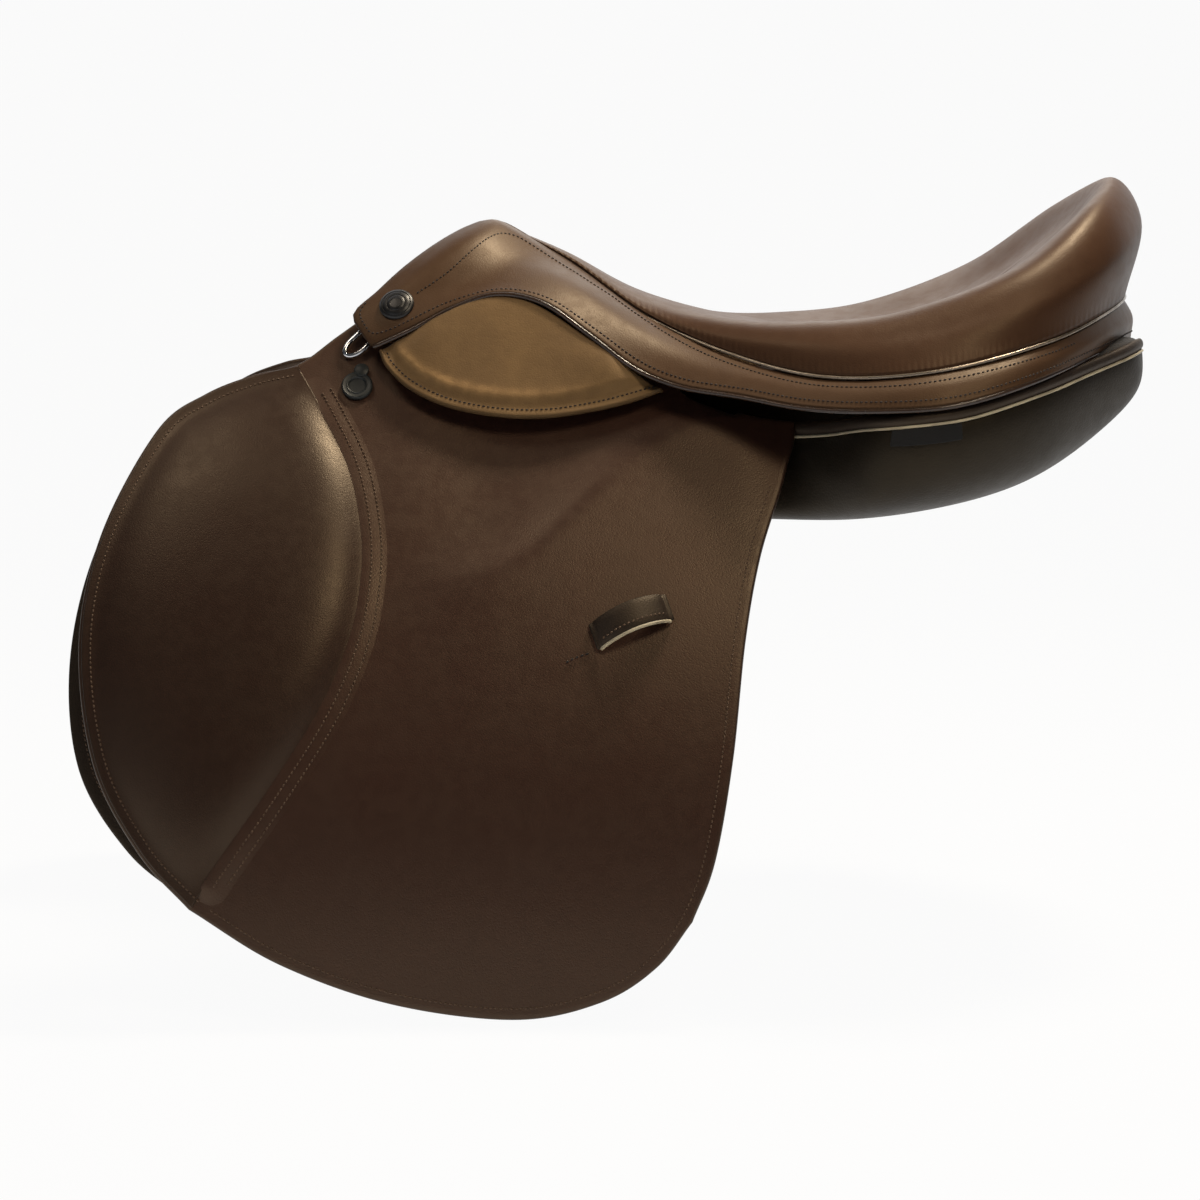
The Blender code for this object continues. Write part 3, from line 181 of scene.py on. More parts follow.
def patch(top: Line, bottom: Line, front: Line, rear: Line) -> Grid:
    """A flat grid between four edges; top and bottom run rearwards, front and rear run down.

    Args:
        top: The upper edge.
        bottom: The lower edge, with as many points as the upper one.
        front: The front edge.
        rear: The rear edge, with as many points as the front one.

    Returns:
        The grid, rows along the top by columns down the front.
    """
    u = np.linspace(0.0, 1.0, len(top))[:, None, None]
    v = np.linspace(0.0, 1.0, len(front))[None, :, None]
    edges = (1 - v) * top[:, None] + v * bottom[:, None] + (1 - u) * front[None] + u * rear[None]
    corners = (1 - u) * ((1 - v) * top[0] + v * bottom[0]) + u * ((1 - v) * top[-1] + v * bottom[-1])
    return edges - corners


def shares_of(rows: int, columns: int) -> tuple[Grid, Grid]:
    """The two shares at each corner of a grid."""
    return np.meshgrid(np.linspace(0.0, 1.0, rows), np.linspace(0.0, 1.0, columns), indexing="ij")


@dataclass(frozen=True)
class SideCurve:
    """The curve that the flap's outer face follows from the pommel down, and how pieces lie over it."""

    spots: Flat = (
        (0.0, 0.158), (0.022, 0.151), (0.043, 0.132), (0.056, 0.113), (0.073, 0.083), (0.099, 0.045),
        (0.13, 0.0), (0.16, -0.05), (0.184, -0.1), (0.202, -0.15), (0.213, -0.2), (0.222, -0.27),
    )
    step: float = 0.0015

    def half_width(self, z: Grid) -> Grid:
        """The curve's distance from the centre plane at a height."""
        fine = through(self.spots, np.linspace(0.0, 1.0, 400))[::-1]
        return np.interp(z, fine[:, 1], fine[:, 0])

    def normal(self, z: Grid) -> tuple[Grid, Grid]:
        """The outward direction, across and up, at a height."""
        run = self.half_width(z + self.step) - self.half_width(z - self.step)
        length = np.hypot(2 * self.step, run)
        return 2 * self.step / length, -run / length

    def lay(self, flat: Grid, out: Grid | float, side: Side) -> Grid:
        """Flat points (x, height) laid over one side, moved out of the flap's face."""
        x, z = flat[..., 0], flat[..., 1]
        across, up = self.normal(z)
        points = np.stack((x, self.half_width(z) + out * across, z + out * up), axis=-1)
        return side.mirrored(points)

    def normals(self, flat: Grid, side: Side) -> Grid:
        """The outward directions of flat points laid over one side."""
        across, up = self.normal(flat[..., 1])
        return side.mirrored(np.stack((np.zeros_like(across), across, up), axis=-1))


CURVE = SideCurve()


class Signal:
    """An output socket of a shader tree; Python's operators on it add Math nodes."""

    def __init__(self, tree: bpy.types.NodeTree, socket: bpy.types.NodeSocket) -> None:
        """Keep the tree and the socket."""
        self.tree = tree
        self.socket = socket

    def _math(self, operation: str, first: "Signal | float", second: "Signal | float" = 0.0) -> "Signal":
        """Add one Math node.

        Args:
            operation: The node's operation.
            first: Its first value or link.
            second: Its second value or link.

        Returns:
            The node's result.
        """
        node = self.tree.nodes.new("ShaderNodeMath")
        node.operation = operation
        for socket, value in zip(node.inputs, (first, second)):
            if isinstance(value, Signal):
                self.tree.links.new(value.socket, socket)
            else:
                socket.default_value = value
        return Signal(self.tree, node.outputs[0])

    def __add__(self, other: "Signal | float") -> "Signal":
        """This value plus another."""
        return self._math("ADD", self, other)

    __radd__ = __add__

    def __sub__(self, other: "Signal | float") -> "Signal":
        """This value less another."""
        return self._math("SUBTRACT", self, other)

    def __rsub__(self, other: float) -> "Signal":
        """A number less this value."""
        return self._math("SUBTRACT", other, self)

    def __mul__(self, other: "Signal | float") -> "Signal":
        """This value times another."""
        return self._math("MULTIPLY", self, other)

    __rmul__ = __mul__

    def clipped(self, low: float = 0.0, high: float = 1.0) -> "Signal":
        """This value held between two numbers."""
        return self._math("MINIMUM", self._math("MAXIMUM", self, low), high)

    def wave(self) -> "Signal":
        """The sine of this value."""
        return self._math("SINE", self)


class Shader:
    """A material's node tree, made by one method for any node."""

    def __init__(self, name: str) -> None:
        """Start a material with its output and Principled shader."""
        self.material = bpy.data.materials.new(name)
        self.material.use_nodes = True
        self.tree = self.material.node_tree
        self.surface = self.tree.nodes["Principled BSDF"]

    def node(self, kind: str, settings: dict[str, object] | None = None, **inputs: object) -> bpy.types.Node:
        """Add a node of any kind.

        Args:
            kind: The node's type.
            settings: Attributes that are set before its sockets.
            **inputs: Values or links by socket name, with spaces written as underscores.

        Returns:
            The node.
        """
        made = self.tree.nodes.new(kind)
        for name, value in (settings or {}).items():
            setattr(made, name, value)
        for name, value in inputs.items():
            self.feed(made.inputs[name.replace("_", " ")], value)
        return made

    def feed(self, socket: bpy.types.NodeSocket, value: object) -> None:
        """Set a socket to a value or link it."""
        if isinstance(value, Signal):
            self.tree.links.new(value.socket, socket)
        elif isinstance(value, tuple) and len(value) == 3 and len(socket.default_value) == 4:
            socket.default_value = (*value, 1.0)
        else:
            socket.default_value = value

    def take(self, node: bpy.types.Node, output: str | int = 0) -> Signal:
        """One output of a node."""
        return Signal(self.tree, node.outputs[output])

    def place(self) -> Signal:
        """The point's own place in metres."""
        return self.take(self.node("ShaderNodeTexCoord"), "Object")

    def noise(self, scale: float, detail: float = 2.0, stretch: Colour | None = None) -> Signal:
        """A soft noise value.

        Args:
            scale: Its number of lumps in a metre.
            detail: How many finer layers it has.
            stretch: A scale for each axis, or nothing.

        Returns:
            The value, from 0 to 1 about one half.
        """
        where = self.place()
        if stretch:
            where = self.take(self.node("ShaderNodeMapping", Vector=where, Scale=stretch), "Vector")
        return self.take(self.node("ShaderNodeTexNoise", Vector=where, Scale=scale, Detail=detail), 0)

    def cells(self, scale: float) -> Signal:
        """The distance to the middle of grain cells, of which a metre holds scale."""
        return self.take(self.node("ShaderNodeTexVoronoi", Vector=self.place(), Scale=scale), "Distance")

    def painted(self, name: str) -> Signal:
        """A value that the mesh carries at its points."""
        return self.take(self.node("ShaderNodeAttribute", {"attribute_name": name}), "Fac")

    def mixed(self, share: Signal | float, first: object, second: object) -> Signal:
        """Two colours or colour links mixed by a share."""
        made = self.node("ShaderNodeMix", {"data_type": "RGBA"})
        self.feed(made.inputs[0], share)
        self.feed(made.inputs[6], first)
        self.feed(made.inputs[7], second)
        return Signal(self.tree, made.outputs[2])

    def ramp(self, value: Signal, low: float, high: float) -> Signal:
        """A value stretched so that low becomes 0 and high becomes 1."""
        made = self.node("ShaderNodeMapRange", {"interpolation_type": "SMOOTHSTEP"}, Value=value)
        made.inputs["From Min"].default_value = low
        made.inputs["From Max"].default_value = high
        return self.take(made)

    def bumped(self, height: Signal, distance: float, strength: float = 1.0) -> Signal:
        """A normal from a height."""
        made = self.node("ShaderNodeBump", Height=height, Distance=distance, Strength=strength)
        return self.take(made, "Normal")

    def dress(self, **inputs: object) -> bpy.types.Material:
        """Set or link the Principled shader's sockets.

        Args:
            **inputs: Values or links by socket name, with spaces written as underscores.

        Returns:
            The material.
        """
        for name, value in inputs.items():
            self.feed(self.surface.inputs[name.replace("_", " ")], value)
        return self.material


@dataclass(frozen=True)
class Finish:
    """A finish's name and main colour."""

    name: str
    colour: Colour

    def dimmed(self, share: float) -> Colour:
        """The main colour times a share."""
        return tuple(share * part for part in self.colour)

    def make(self) -> bpy.types.Material:
        """The finish's material, which each kind makes in its own way."""
        raise NotImplementedError


@dataclass(frozen=True)
class Leather(Finish):
    """Dyed smooth leather with fine grain, soft mottling and darker, worn edges."""

    deep: Colour
    shine: float = 0.42
    grain: float = 950.0
    relief: float = 0.00012
    mottle: float = 0.5
    coat: float = 0.12
    level: float = 0.5
    sheen_tint: Colour = (1.0, 0.8, 0.56)
    gather_pitch: float = 0.0034

    def make(self) -> bpy.types.Material:
        """The leather's material."""
        shader = Shader(self.name)
        cloud = shader.ramp(shader.noise(26.0, 5.0), 0.3, 0.72)
        fleck = shader.ramp(shader.noise(140.0, 3.0), 0.4, 0.62)
        pores = shader.ramp(shader.cells(self.grain), 0.12, 0.62)
        edge = shader.painted("edge")
        shade = (cloud * self.mottle + fleck * (0.35 * self.mottle) + pores * 0.1).clipped()
        colour = shader.mixed(shade, self.deep, self.colour)
        worn = tuple(0.45 * part for part in self.deep)
        colour = shader.mixed(edge * 0.75, colour, worn)
        # Painted highlight, partly wear: this mask lightens the colour along the jockey's crown ridge,
        # standing in for the lit ridge.
        colour = shader.mixed(shader.painted("rub") * (0.55 + 0.45 * fleck), colour, self.dimmed(2.1))
        rough = (self.shine + 0.05 * (0.5 - cloud) + 0.04 * fleck + 0.1 * edge).clipped()
        parts = shader.node("ShaderNodeSeparateXYZ", Vector=shader.place())
        turns = 2 * math.pi / self.gather_pitch
        gathers = (shader.take(parts, "X") * turns).wave() * shader.painted("gather")
        height = pores * 0.6 + shader.noise(420.0, 3.0) * 0.6 + shader.noise(90.0, 2.0) * 0.9 + gathers * 1.6
        return shader.dress(
            Base_Color=colour, Roughness=rough, Normal=shader.bumped(height, self.relief, 0.55),
            Coat_Weight=self.coat, Coat_Roughness=0.3,
            Specular_IOR_Level=self.level, Specular_Tint=self.sheen_tint,
        )


@dataclass(frozen=True)
class Thread(Finish):
    """Waxed sewing thread with the twist of its plies."""

    def make(self) -> bpy.types.Material:
        """The thread's material."""
        shader = Shader(self.name)
        twist = shader.noise(2600.0, 1.0)
        colour = shader.mixed(twist, self.dimmed(0.55), self.colour)
        return shader.dress(Base_Color=colour, Roughness=0.62, Normal=shader.bumped(twist, 0.0001, 0.6))


@dataclass(frozen=True)
class Cord(Finish):
    """Covered piping cord: thin leather drawn over a string, with faint wrinkles."""

    dull: Colour
    shine: float = 0.4
    metal: float = 0.0

    def make(self) -> bpy.types.Material:
        """The cord's material."""
        shader = Shader(self.name)
        dirt = shader.ramp(shader.noise(70.0, 3.0), 0.42, 0.7)
        colour = shader.mixed(dirt, self.colour, self.dull)
        wrinkle = shader.noise(900.0, 2.0)
        rough = (self.shine + 0.15 * dirt).clipped()
        return shader.dress(
            Base_Color=colour, Roughness=rough, Metallic=self.metal,
            Normal=shader.bumped(wrinkle, 0.0001, 0.5),
        )


@dataclass(frozen=True)
class Steel(Finish):
    """Steel with a polish or a fine brush, and a little tarnish."""

    shine: float
    brush: float = 0.0

    def make(self) -> bpy.types.Material:
        """The steel's material."""
        shader = Shader(self.name)
        tarnish = shader.ramp(shader.noise(60.0, 4.0), 0.5, 0.78)
        lines = shader.noise(240.0, 2.0, (1.0, 9.0, 9.0))
        colour = shader.mixed(tarnish * 0.45, self.colour, self.dimmed(0.45))
        rough = (self.shine + 0.18 * tarnish + self.brush * lines).clipped()
        return shader.dress(
            Base_Color=colour, Roughness=rough, Metallic=1.0, Normal=shader.bumped(lines, 0.00002, 0.4)
        )


@dataclass(frozen=True)
class Rubber(Finish):
    """Moulded black rubber or lacquered cap with a faint texture."""

    shine: float = 0.42

    def make(self) -> bpy.types.Material:
        """The rubber's material."""
        shader = Shader(self.name)
        speck = shader.noise(1500.0, 2.0)
        bloom = shader.ramp(shader.noise(110.0, 3.0), 0.45, 0.72)
        colour = shader.mixed(bloom * 0.5, self.colour, tuple(2.2 * part + 0.004 for part in self.colour))
        rough = (self.shine + 0.12 * bloom).clipped()
        return shader.dress(Base_Color=colour, Roughness=rough, Normal=shader.bumped(speck, 0.00006, 0.5))


@dataclass(frozen=True)
class Wood(Finish):
    """Laminated beech of the tree, with its grain along the saddle."""

    dark: Colour

    def make(self) -> bpy.types.Material:
        """The wood's material."""
        shader = Shader(self.name)
        fibre = shader.noise(30.0, 5.0, (1.0, 10.0, 10.0))
        rings = shader.ramp(fibre, 0.35, 0.65)
        colour = shader.mixed(rings, self.dark, self.colour)
        return shader.dress(
            Base_Color=colour, Roughness=(0.5 + 0.15 * rings).clipped(),
            Normal=shader.bumped(fibre, 0.0003, 0.5),
        )


@dataclass(frozen=True)
class Webbing(Finish):
    """Woven webbing with its rows of picks."""

    pitch: float = 0.0016

    def make(self) -> bpy.types.Material:
        """The webbing's material."""
        shader = Shader(self.name)
        parts = shader.node("ShaderNodeSeparateXYZ", Vector=shader.place())
        turns = 2 * math.pi / self.pitch
        across, up = (shader.take(parts, name) * turns for name in ("X", "Z"))
        weave = across.wave() * up.wave() * 0.5 + 0.5
        colour = shader.mixed(weave, self.dimmed(0.55), self.colour)
        return shader.dress(Base_Color=colour, Roughness=0.88, Normal=shader.bumped(weave, 0.0003, 0.8))


@dataclass(frozen=True)
class Foam(Finish):
    """Open cell foam."""

    def make(self) -> bpy.types.Material:
        """The foam's material."""
        shader = Shader(self.name)
        holes = shader.ramp(shader.cells(700.0), 0.05, 0.45)
        colour = shader.mixed(holes, self.dimmed(0.5), self.colour)
        return shader.dress(Base_Color=colour, Roughness=0.93, Normal=shader.bumped(holes, 0.0006, 0.8))


@dataclass
class Finishes:
    """Every finish of the saddle, made once."""

    made: dict[str, bpy.types.Material] = field(default_factory=dict)
    recipes: tuple[Finish, ...] = (
        Leather(
            "seat_hide", (0.092, 0.046, 0.026), (0.066, 0.032, 0.019), 0.41, 1000.0, 0.00008, 0.3, 0.0, 0.26,
        ),
        Leather(
            "skirt_hide", (0.096, 0.052, 0.029), (0.07, 0.037, 0.021), 0.42, 950.0, 0.00009, 0.3, 0.0, 0.28,
        ),
        # Jockey hide: its colour is the lit golden look of the leather, about two and a half times the
        # skirt's, a lighter copy of the hide that holds painted highlight.
        Leather(
            "jockey_hide", (0.24, 0.147, 0.066), (0.168, 0.101, 0.047), 0.5, 900.0, 0.00013, 0.55, 0.0, 0.45,
        ),
        Leather(
            "flap_hide", (0.059, 0.026, 0.019), (0.043, 0.019, 0.014), 0.37, 900.0, 0.0001, 0.25, 0.02, 0.62,
        ),
        Leather(
            "knee_hide", (0.036, 0.016, 0.012), (0.026, 0.012, 0.009), 0.38, 950.0, 0.00009, 0.25, 0.0, 0.5,
        ),
        Leather("under_hide", (0.024, 0.015, 0.012), (0.014, 0.009, 0.008), 0.48, 900.0, 0.00014, 0.5, 0.02),
        Leather(
            "panel_hide", (0.01, 0.008, 0.006), (0.005, 0.004, 0.003), 0.46, 800.0, 0.00018, 0.5, 0.0, 0.35,
        ),
        Leather("strap_hide", (0.052, 0.027, 0.015), (0.03, 0.016, 0.01), 0.44, 900.0, 0.00013, 0.5, 0.1),
        Thread("dark_thread", (0.02, 0.011, 0.008)),
        Thread("brown_thread", (0.15, 0.088, 0.052)),
        Thread("black_thread", (0.022, 0.018, 0.016)),
        Cord("cream_cord", (0.62, 0.56, 0.42), (0.4, 0.35, 0.26)),
        Cord("silver_cord", (0.3, 0.25, 0.2), (0.21, 0.17, 0.13), 0.22, 0.6),
        Cord("brown_cord", (0.05, 0.028, 0.018), (0.028, 0.016, 0.011), 0.2),
        Steel("chromed", (0.66, 0.66, 0.68), 0.1),
        Steel("forged", (0.4, 0.4, 0.41), 0.3, 0.1),
        Rubber("black_cap", (0.007, 0.006, 0.006), 0.36),
        Rubber("black_rubber", (0.009, 0.011, 0.011), 0.46),
        Wood("beech", (0.46, 0.3, 0.16), (0.3, 0.18, 0.09)),
        Webbing("girth_webbing", (0.36, 0.33, 0.25)),
        Webbing("black_weave", (0.01, 0.01, 0.011), 0.0008),
        Foam("seat_foam_cells", (0.6, 0.56, 0.42)),
    )

    def make(self) -> "Finishes":
        """Make each material and return self."""
        for recipe in self.recipes:
            self.made[recipe.name] = recipe.make()
        return self

    def __getitem__(self, name: str) -> bpy.types.Material:
        """The material of one name."""
        return self.made[name]

    def sewn(self, name: str, line: Line, normals: Line, thread: str) -> bpy.types.Object:
        """A row of stitches of one thread."""
        return SEWN.sew(name, line, normals, self.made[thread])

    def sewn_flat(self, name: str, row: Line, out: Grid | float, side: Side, thread: str) -> bpy.types.Object:
        """A row of stitches along a flat line that is laid over one side."""
        laid, up = CURVE.lay(row, out, side), CURVE.normals(row, side)
        return self.sewn(f"{name}_{side.label}", laid, up, thread)


def entered(
    piece: bpy.types.Object, body: str | None = "saddle",
    stands_for: Sequence[str] = (),
) -> bpy.types.Object:
    """Attach a piece to its body, hide the CAD nodes that it replaces, and log its faces.

    Args:
        piece: The piece.
        body: The body that it rides on, or nothing.
        stands_for: The CAD nodes that it replaces.

    Returns:
        The piece.
    """
    if body:
        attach(piece, body)
    if stands_for:
        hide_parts(*stands_for)
    LOG.info("%s: %d faces", piece.name, len(piece.data.polygons))
    return piece


def linked(name: str, data: bpy.types.ID) -> bpy.types.Object:
    """A new object in the scene."""
    made = bpy.data.objects.new(name, data)
    bpy.context.scene.collection.objects.link(made)
    return made


def drawn(name: str, verts: Grid, faces: list, material: bpy.types.Material) -> bpy.types.Object:
    """A new piece straight from its points and faces.

    Args:
        name: The piece's name.
        verts: Its points, one row each.
        faces: Its faces, as point numbers.
        material: Its finish.

    Returns:
        The piece.
    """
    mesh = bpy.data.meshes.new(name)
    mesh.from_pydata(np.asarray(verts, float).tolist(), [], [list(map(int, face)) for face in faces])
    mesh.materials.append(material)
    return linked(name, mesh)


def joined(piece: bpy.types.Object, trimmed: bool = False) -> bpy.types.Object:
    """Weld a piece's doubled points, and turn its faces outwards and smooth.

    Args:
        piece: The piece.
        trimmed: Whether its empty faces are taken out too.

    Returns:
        The piece.
    """
    work = bmesh.new()
    work.from_mesh(piece.data)
    bmesh.ops.remove_doubles(work, verts=work.verts, dist=WELD)
    if trimmed:
        bmesh.ops.dissolve_degenerate(work, edges=work.edges, dist=WELD)
    bmesh.ops.recalc_face_normals(work, faces=work.faces)
    work.to_mesh(piece.data)
    work.free()
    piece.data.shade_smooth()
    return piece


def add_piece(name: str, verts: Grid, faces: list, material: bpy.types.Material) -> bpy.types.Object:
    """Link a mesh piece with smooth faces.

    Args:
        name: The piece's name.
        verts: Its points, one row each.
        faces: Its faces, as point numbers.
        material: Its finish.

    Returns:
        The piece.
    """
    piece = drawn(name, verts, faces, material)
    piece.data.validate()
    return joined(piece)


def grid_faces(rows: int, columns: int, start: int = 0) -> list:
    """The faces of a grid of points numbered row by row."""
    corners = [start + i * columns + j for i in range(rows - 1) for j in range(columns - 1)]
    return [(k, k + columns, k + columns + 1, k + 1) for k in corners]


def counted(rings: int, sides: int) -> list[range]:
    """The point numbers of rings that follow one another."""
    return [range(k * sides, (k + 1) * sides) for k in range(rings)]


def hoops(rings: Sequence[Sequence]) -> list:
    """The faces between each closed ring of points and the next one."""
    after = [*range(1, len(rings[0])), 0]
    return [(a[k], a[m], b[m], b[k]) for a, b in zip(rings, rings[1:]) for k, m in enumerate(after)]


def facing(spot: Line, outward: Line) -> Matrix:
    """A placing matrix at a spot, with Z along a direction."""
    turned = Vector(outward).to_track_quat("Z", "Y").to_matrix().to_4x4()
    return Matrix.Translation(Vector(spot)) @ turned


def paint(piece: bpy.types.Object, name: str, values: Grid) -> None:
    """Give a mesh a value at each point."""
    layer = piece.data.attributes.new(name, "FLOAT", "POINT")
    layer.data.foreach_set("value", np.asarray(values, np.float32))


def leather_sheet(
    name: str, outer: Grid, inward: Grid, thickness: float, material: bpy.types.Material, rim: float = 0.0012,
    rub: Grid | None = None,
) -> bpy.types.Object:
    """A sheet of leather with rounded cut edges, its edges darker.

    Args:
        name: The piece's name.
        outer: The grid of its outer face.
        inward: The direction into the sheet at each point of the grid.
        thickness: The leather's thickness.
        material: Its finish.
        rim: How far the rounding of the edge reaches in.
        rub: How much lighter the outer face is painted at each point of the grid, partly wear and partly
            painted highlight, or nothing.

    Returns:
        The closed sheet.
    """
    rows, columns = outer.shape[:2]
    count = rows * columns
    border = [(i, 0) for i in range(rows - 1)] + [(rows - 1, j) for j in range(columns - 1)]
    border += [(i, columns - 1) for i in range(rows - 1, 0, -1)] + [(0, j) for j in range(columns - 1, 0, -1)]
    ring = np.array([i * columns + j for i, j in border])
    flat, into = outer.reshape(-1, 3), inward.reshape(-1, 3)
    after, before = flat[np.roll(ring, -1)], flat[np.roll(ring, 1)]
    out = unit(np.cross(unit(after - before), into[ring]))
    centre = flat.mean(axis=0)
    if ((flat[ring] - centre) * out).sum() < 0:
        out = -out
    top, low = flat.copy(), flat + into * thickness
    swell = 0.5 * thickness
    levels = []
    for turn in np.linspace(0.0, math.pi, 7)[1:-1]:
        depth = 0.5 * thickness * (1 - math.cos(turn))
        levels.append(flat[ring] + into[ring] * depth + out * min(swell, rim) * math.sin(turn))
    verts = np.vstack((top, low, *levels))
    faces = grid_faces(rows, columns)
    faces += [face[::-1] for face in grid_faces(rows, columns, count)]
    rounds = [2 * count + k * len(ring) + np.arange(len(ring)) for k in range(len(levels))]
    faces += hoops([ring, *rounds, ring + count])
    edge = np.concatenate((np.zeros(2 * count), np.ones(len(levels) * len(ring))))
    edge[ring] = 0.35
    edge[ring + count] = 0.6
    piece = drawn(name, verts, faces, material)
    paint(piece, "edge", edge)
    if rub is not None:
        paint(piece, "rub", np.concatenate((rub.ravel(), np.zeros(len(verts) - count))))
    return joined(piece, trimmed=True)


def laid_sheet(
    name: str, flat: Grid, out: Grid | float, side: Side, thickness: float, material: bpy.types.Material,
    rim: float, rub: Grid | None = None,
) -> bpy.types.Object:
    """A sheet of leather laid over one side.

    Args:
        name: The piece's name, without its side.
        flat: The sheet as a flat grid of (x, height).
        out: How far its outer face stands out of the flap's face.
        side: The side that it is on.
        thickness: The leather's thickness.
        material: Its finish.
        rim: How far the rounding of the edge reaches in.
        rub: How much lighter the outer face is painted at each point of the grid, partly wear and partly
            painted highlight, or nothing.

    Returns:
        The closed sheet.
    """
    outer, inward = CURVE.lay(flat, out, side), -CURVE.normals(flat, side)
    return leather_sheet(f"{name}_{side.label}", outer, inward, thickness, material, rim, rub)


def tube(
    name: str, line: Line, radius: float | Line, material: bpy.types.Material,
    sides: int = 10, closed: bool = False,
) -> bpy.types.Object:
    """A round cord or wire along a line, with rounded ends.

    Args:
        name: The piece's name.
        line: The points that it follows.
        radius: Its radius, or one for each point.
        material: Its finish.
        sides: How many sides its section has.
        closed: Whether it runs back into its start.

    Returns:
        The tube.
    """
    count = len(line)
    radii = np.broadcast_to(radius, count)
    if closed:
        run = np.roll(line, -1, axis=0) - np.roll(line, 1, axis=0)
    else:
        run = np.gradient(line, axis=0)
    run = unit(run)
    side = np.cross(run[0], (0.0, 0.0, 1.0))
    if np.linalg.norm(side) < 0.1:
        side = np.cross(run[0], (0.0, 1.0, 0.0))
    sections = []
    turns = np.linspace(0.0, 2 * math.pi, sides, endpoint=False)
    for k in range(count):
        side = side - run[k] * side.dot(run[k])
        side /= np.linalg.norm(side)
        up = np.cross(run[k], side)
        sections.append(line[k] + radii[k] * (np.cos(turns)[:, None] * side + np.sin(turns)[:, None] * up))
    rings = counted(count, sides)
    faces = hoops([*rings, rings[0]] if closed else rings)
    if not closed:
        sections.append(np.stack((line[0] - 0.5 * radii[0] * run[0], line[-1] + 0.5 * radii[-1] * run[-1])))
        tip, last = count * sides, rings[-1]
        for j in range(sides):
            m = (j + 1) % sides
            faces += [(tip, j, m), (tip + 1, last[m], last[j])]
    return add_piece(name, np.vstack(sections), faces, material)


@dataclass(frozen=True)
class Stitching:
    """A row of stitches: each a short taut thread that dips into the leather at both ends."""

    pitch: float = 0.0027
    share: float = 0.66
    radius: float = 0.00048
    slant: float = 9.0
    sides: int = 6

    def sew(self, name: str, line: Line, normals: Line, thread: bpy.types.Material) -> bpy.types.Object:
        """Sew a row along a line that lies on the leather.

        Args:
            name: The piece's name.
            line: The points that the row follows.
            normals: The leather's outward direction at each of them.
            thread: The thread's finish.

        Returns:
            All the row's stitches as one piece.
        """
        both = resampled(np.hstack((line, normals)), self.pitch)
        spots, up = both[:, :3], unit(both[:, 3:])
        run = np.gradient(spots, axis=0)
        run = unit(run - up * (run * up).sum(axis=1)[:, None])
        across = np.cross(up, run)
        c, s = math.cos(math.radians(self.slant)), math.sin(math.radians(self.slant))
        run, across = run * c + across * s, across * c - run * s
        half = 0.5 * self.share * self.pitch
        stations = [(-1.0, 0.35, -0.9), (-0.72, 0.85, -0.15), (0.0, 1.0, 0.12)]
        stations += [(-place, thick, rise) for place, thick, rise in stations[1::-1]]
        turns = np.linspace(0.0, 2 * math.pi, self.sides, endpoint=False)
        rings = []
        for place, thick, rise in stations:
            centre = spots + run * half * place + up * self.radius * rise
            for turn in turns:
                rings.append(centre + self.radius * thick * (across * math.cos(turn) + up * math.sin(turn)))
        verts = np.stack(rings, axis=1).reshape(-1, 3)
        loops = counted(len(stations), self.sides)
        one = [*hoops(loops), loops[0][::-1], loops[-1]]
        each = len(stations) * self.sides
        faces = [[k * each + v for v in face] for k in range(len(spots)) for face in one]
        made = drawn(name, verts, faces, thread)
        made.data.shade_smooth()
        return made


SEWN = Stitching()


def settle(piece: bpy.types.Object) -> None:
    """Make a piece's modifiers part of its mesh."""
    bpy.context.view_layer.update()
    graph = bpy.context.evaluated_depsgraph_get()
    done = bpy.data.meshes.new_from_object(piece.evaluated_get(graph))
    piece.modifiers.clear()
    piece.data = done


def carve(piece: bpy.types.Object, work: bmesh.types.BMesh, place: Matrix | None = None) -> None:
    """Cut one body out of a piece for good.

    Args:
        piece: The piece.
        work: The body, which is used up.
        place: Where the body goes, or nothing where it already lies there.
    """
    cutter = linked("cutter", bpy.data.meshes.new("cutter"))
    work.to_mesh(cutter.data)
    work.free()
    if place is not None:
        cutter.matrix_world = place
    cut = piece.modifiers.new("cut", "BOOLEAN")
    cut.operation = "DIFFERENCE"
    cut.object = cutter
    settle(piece)
    bpy.data.objects.remove(cutter)


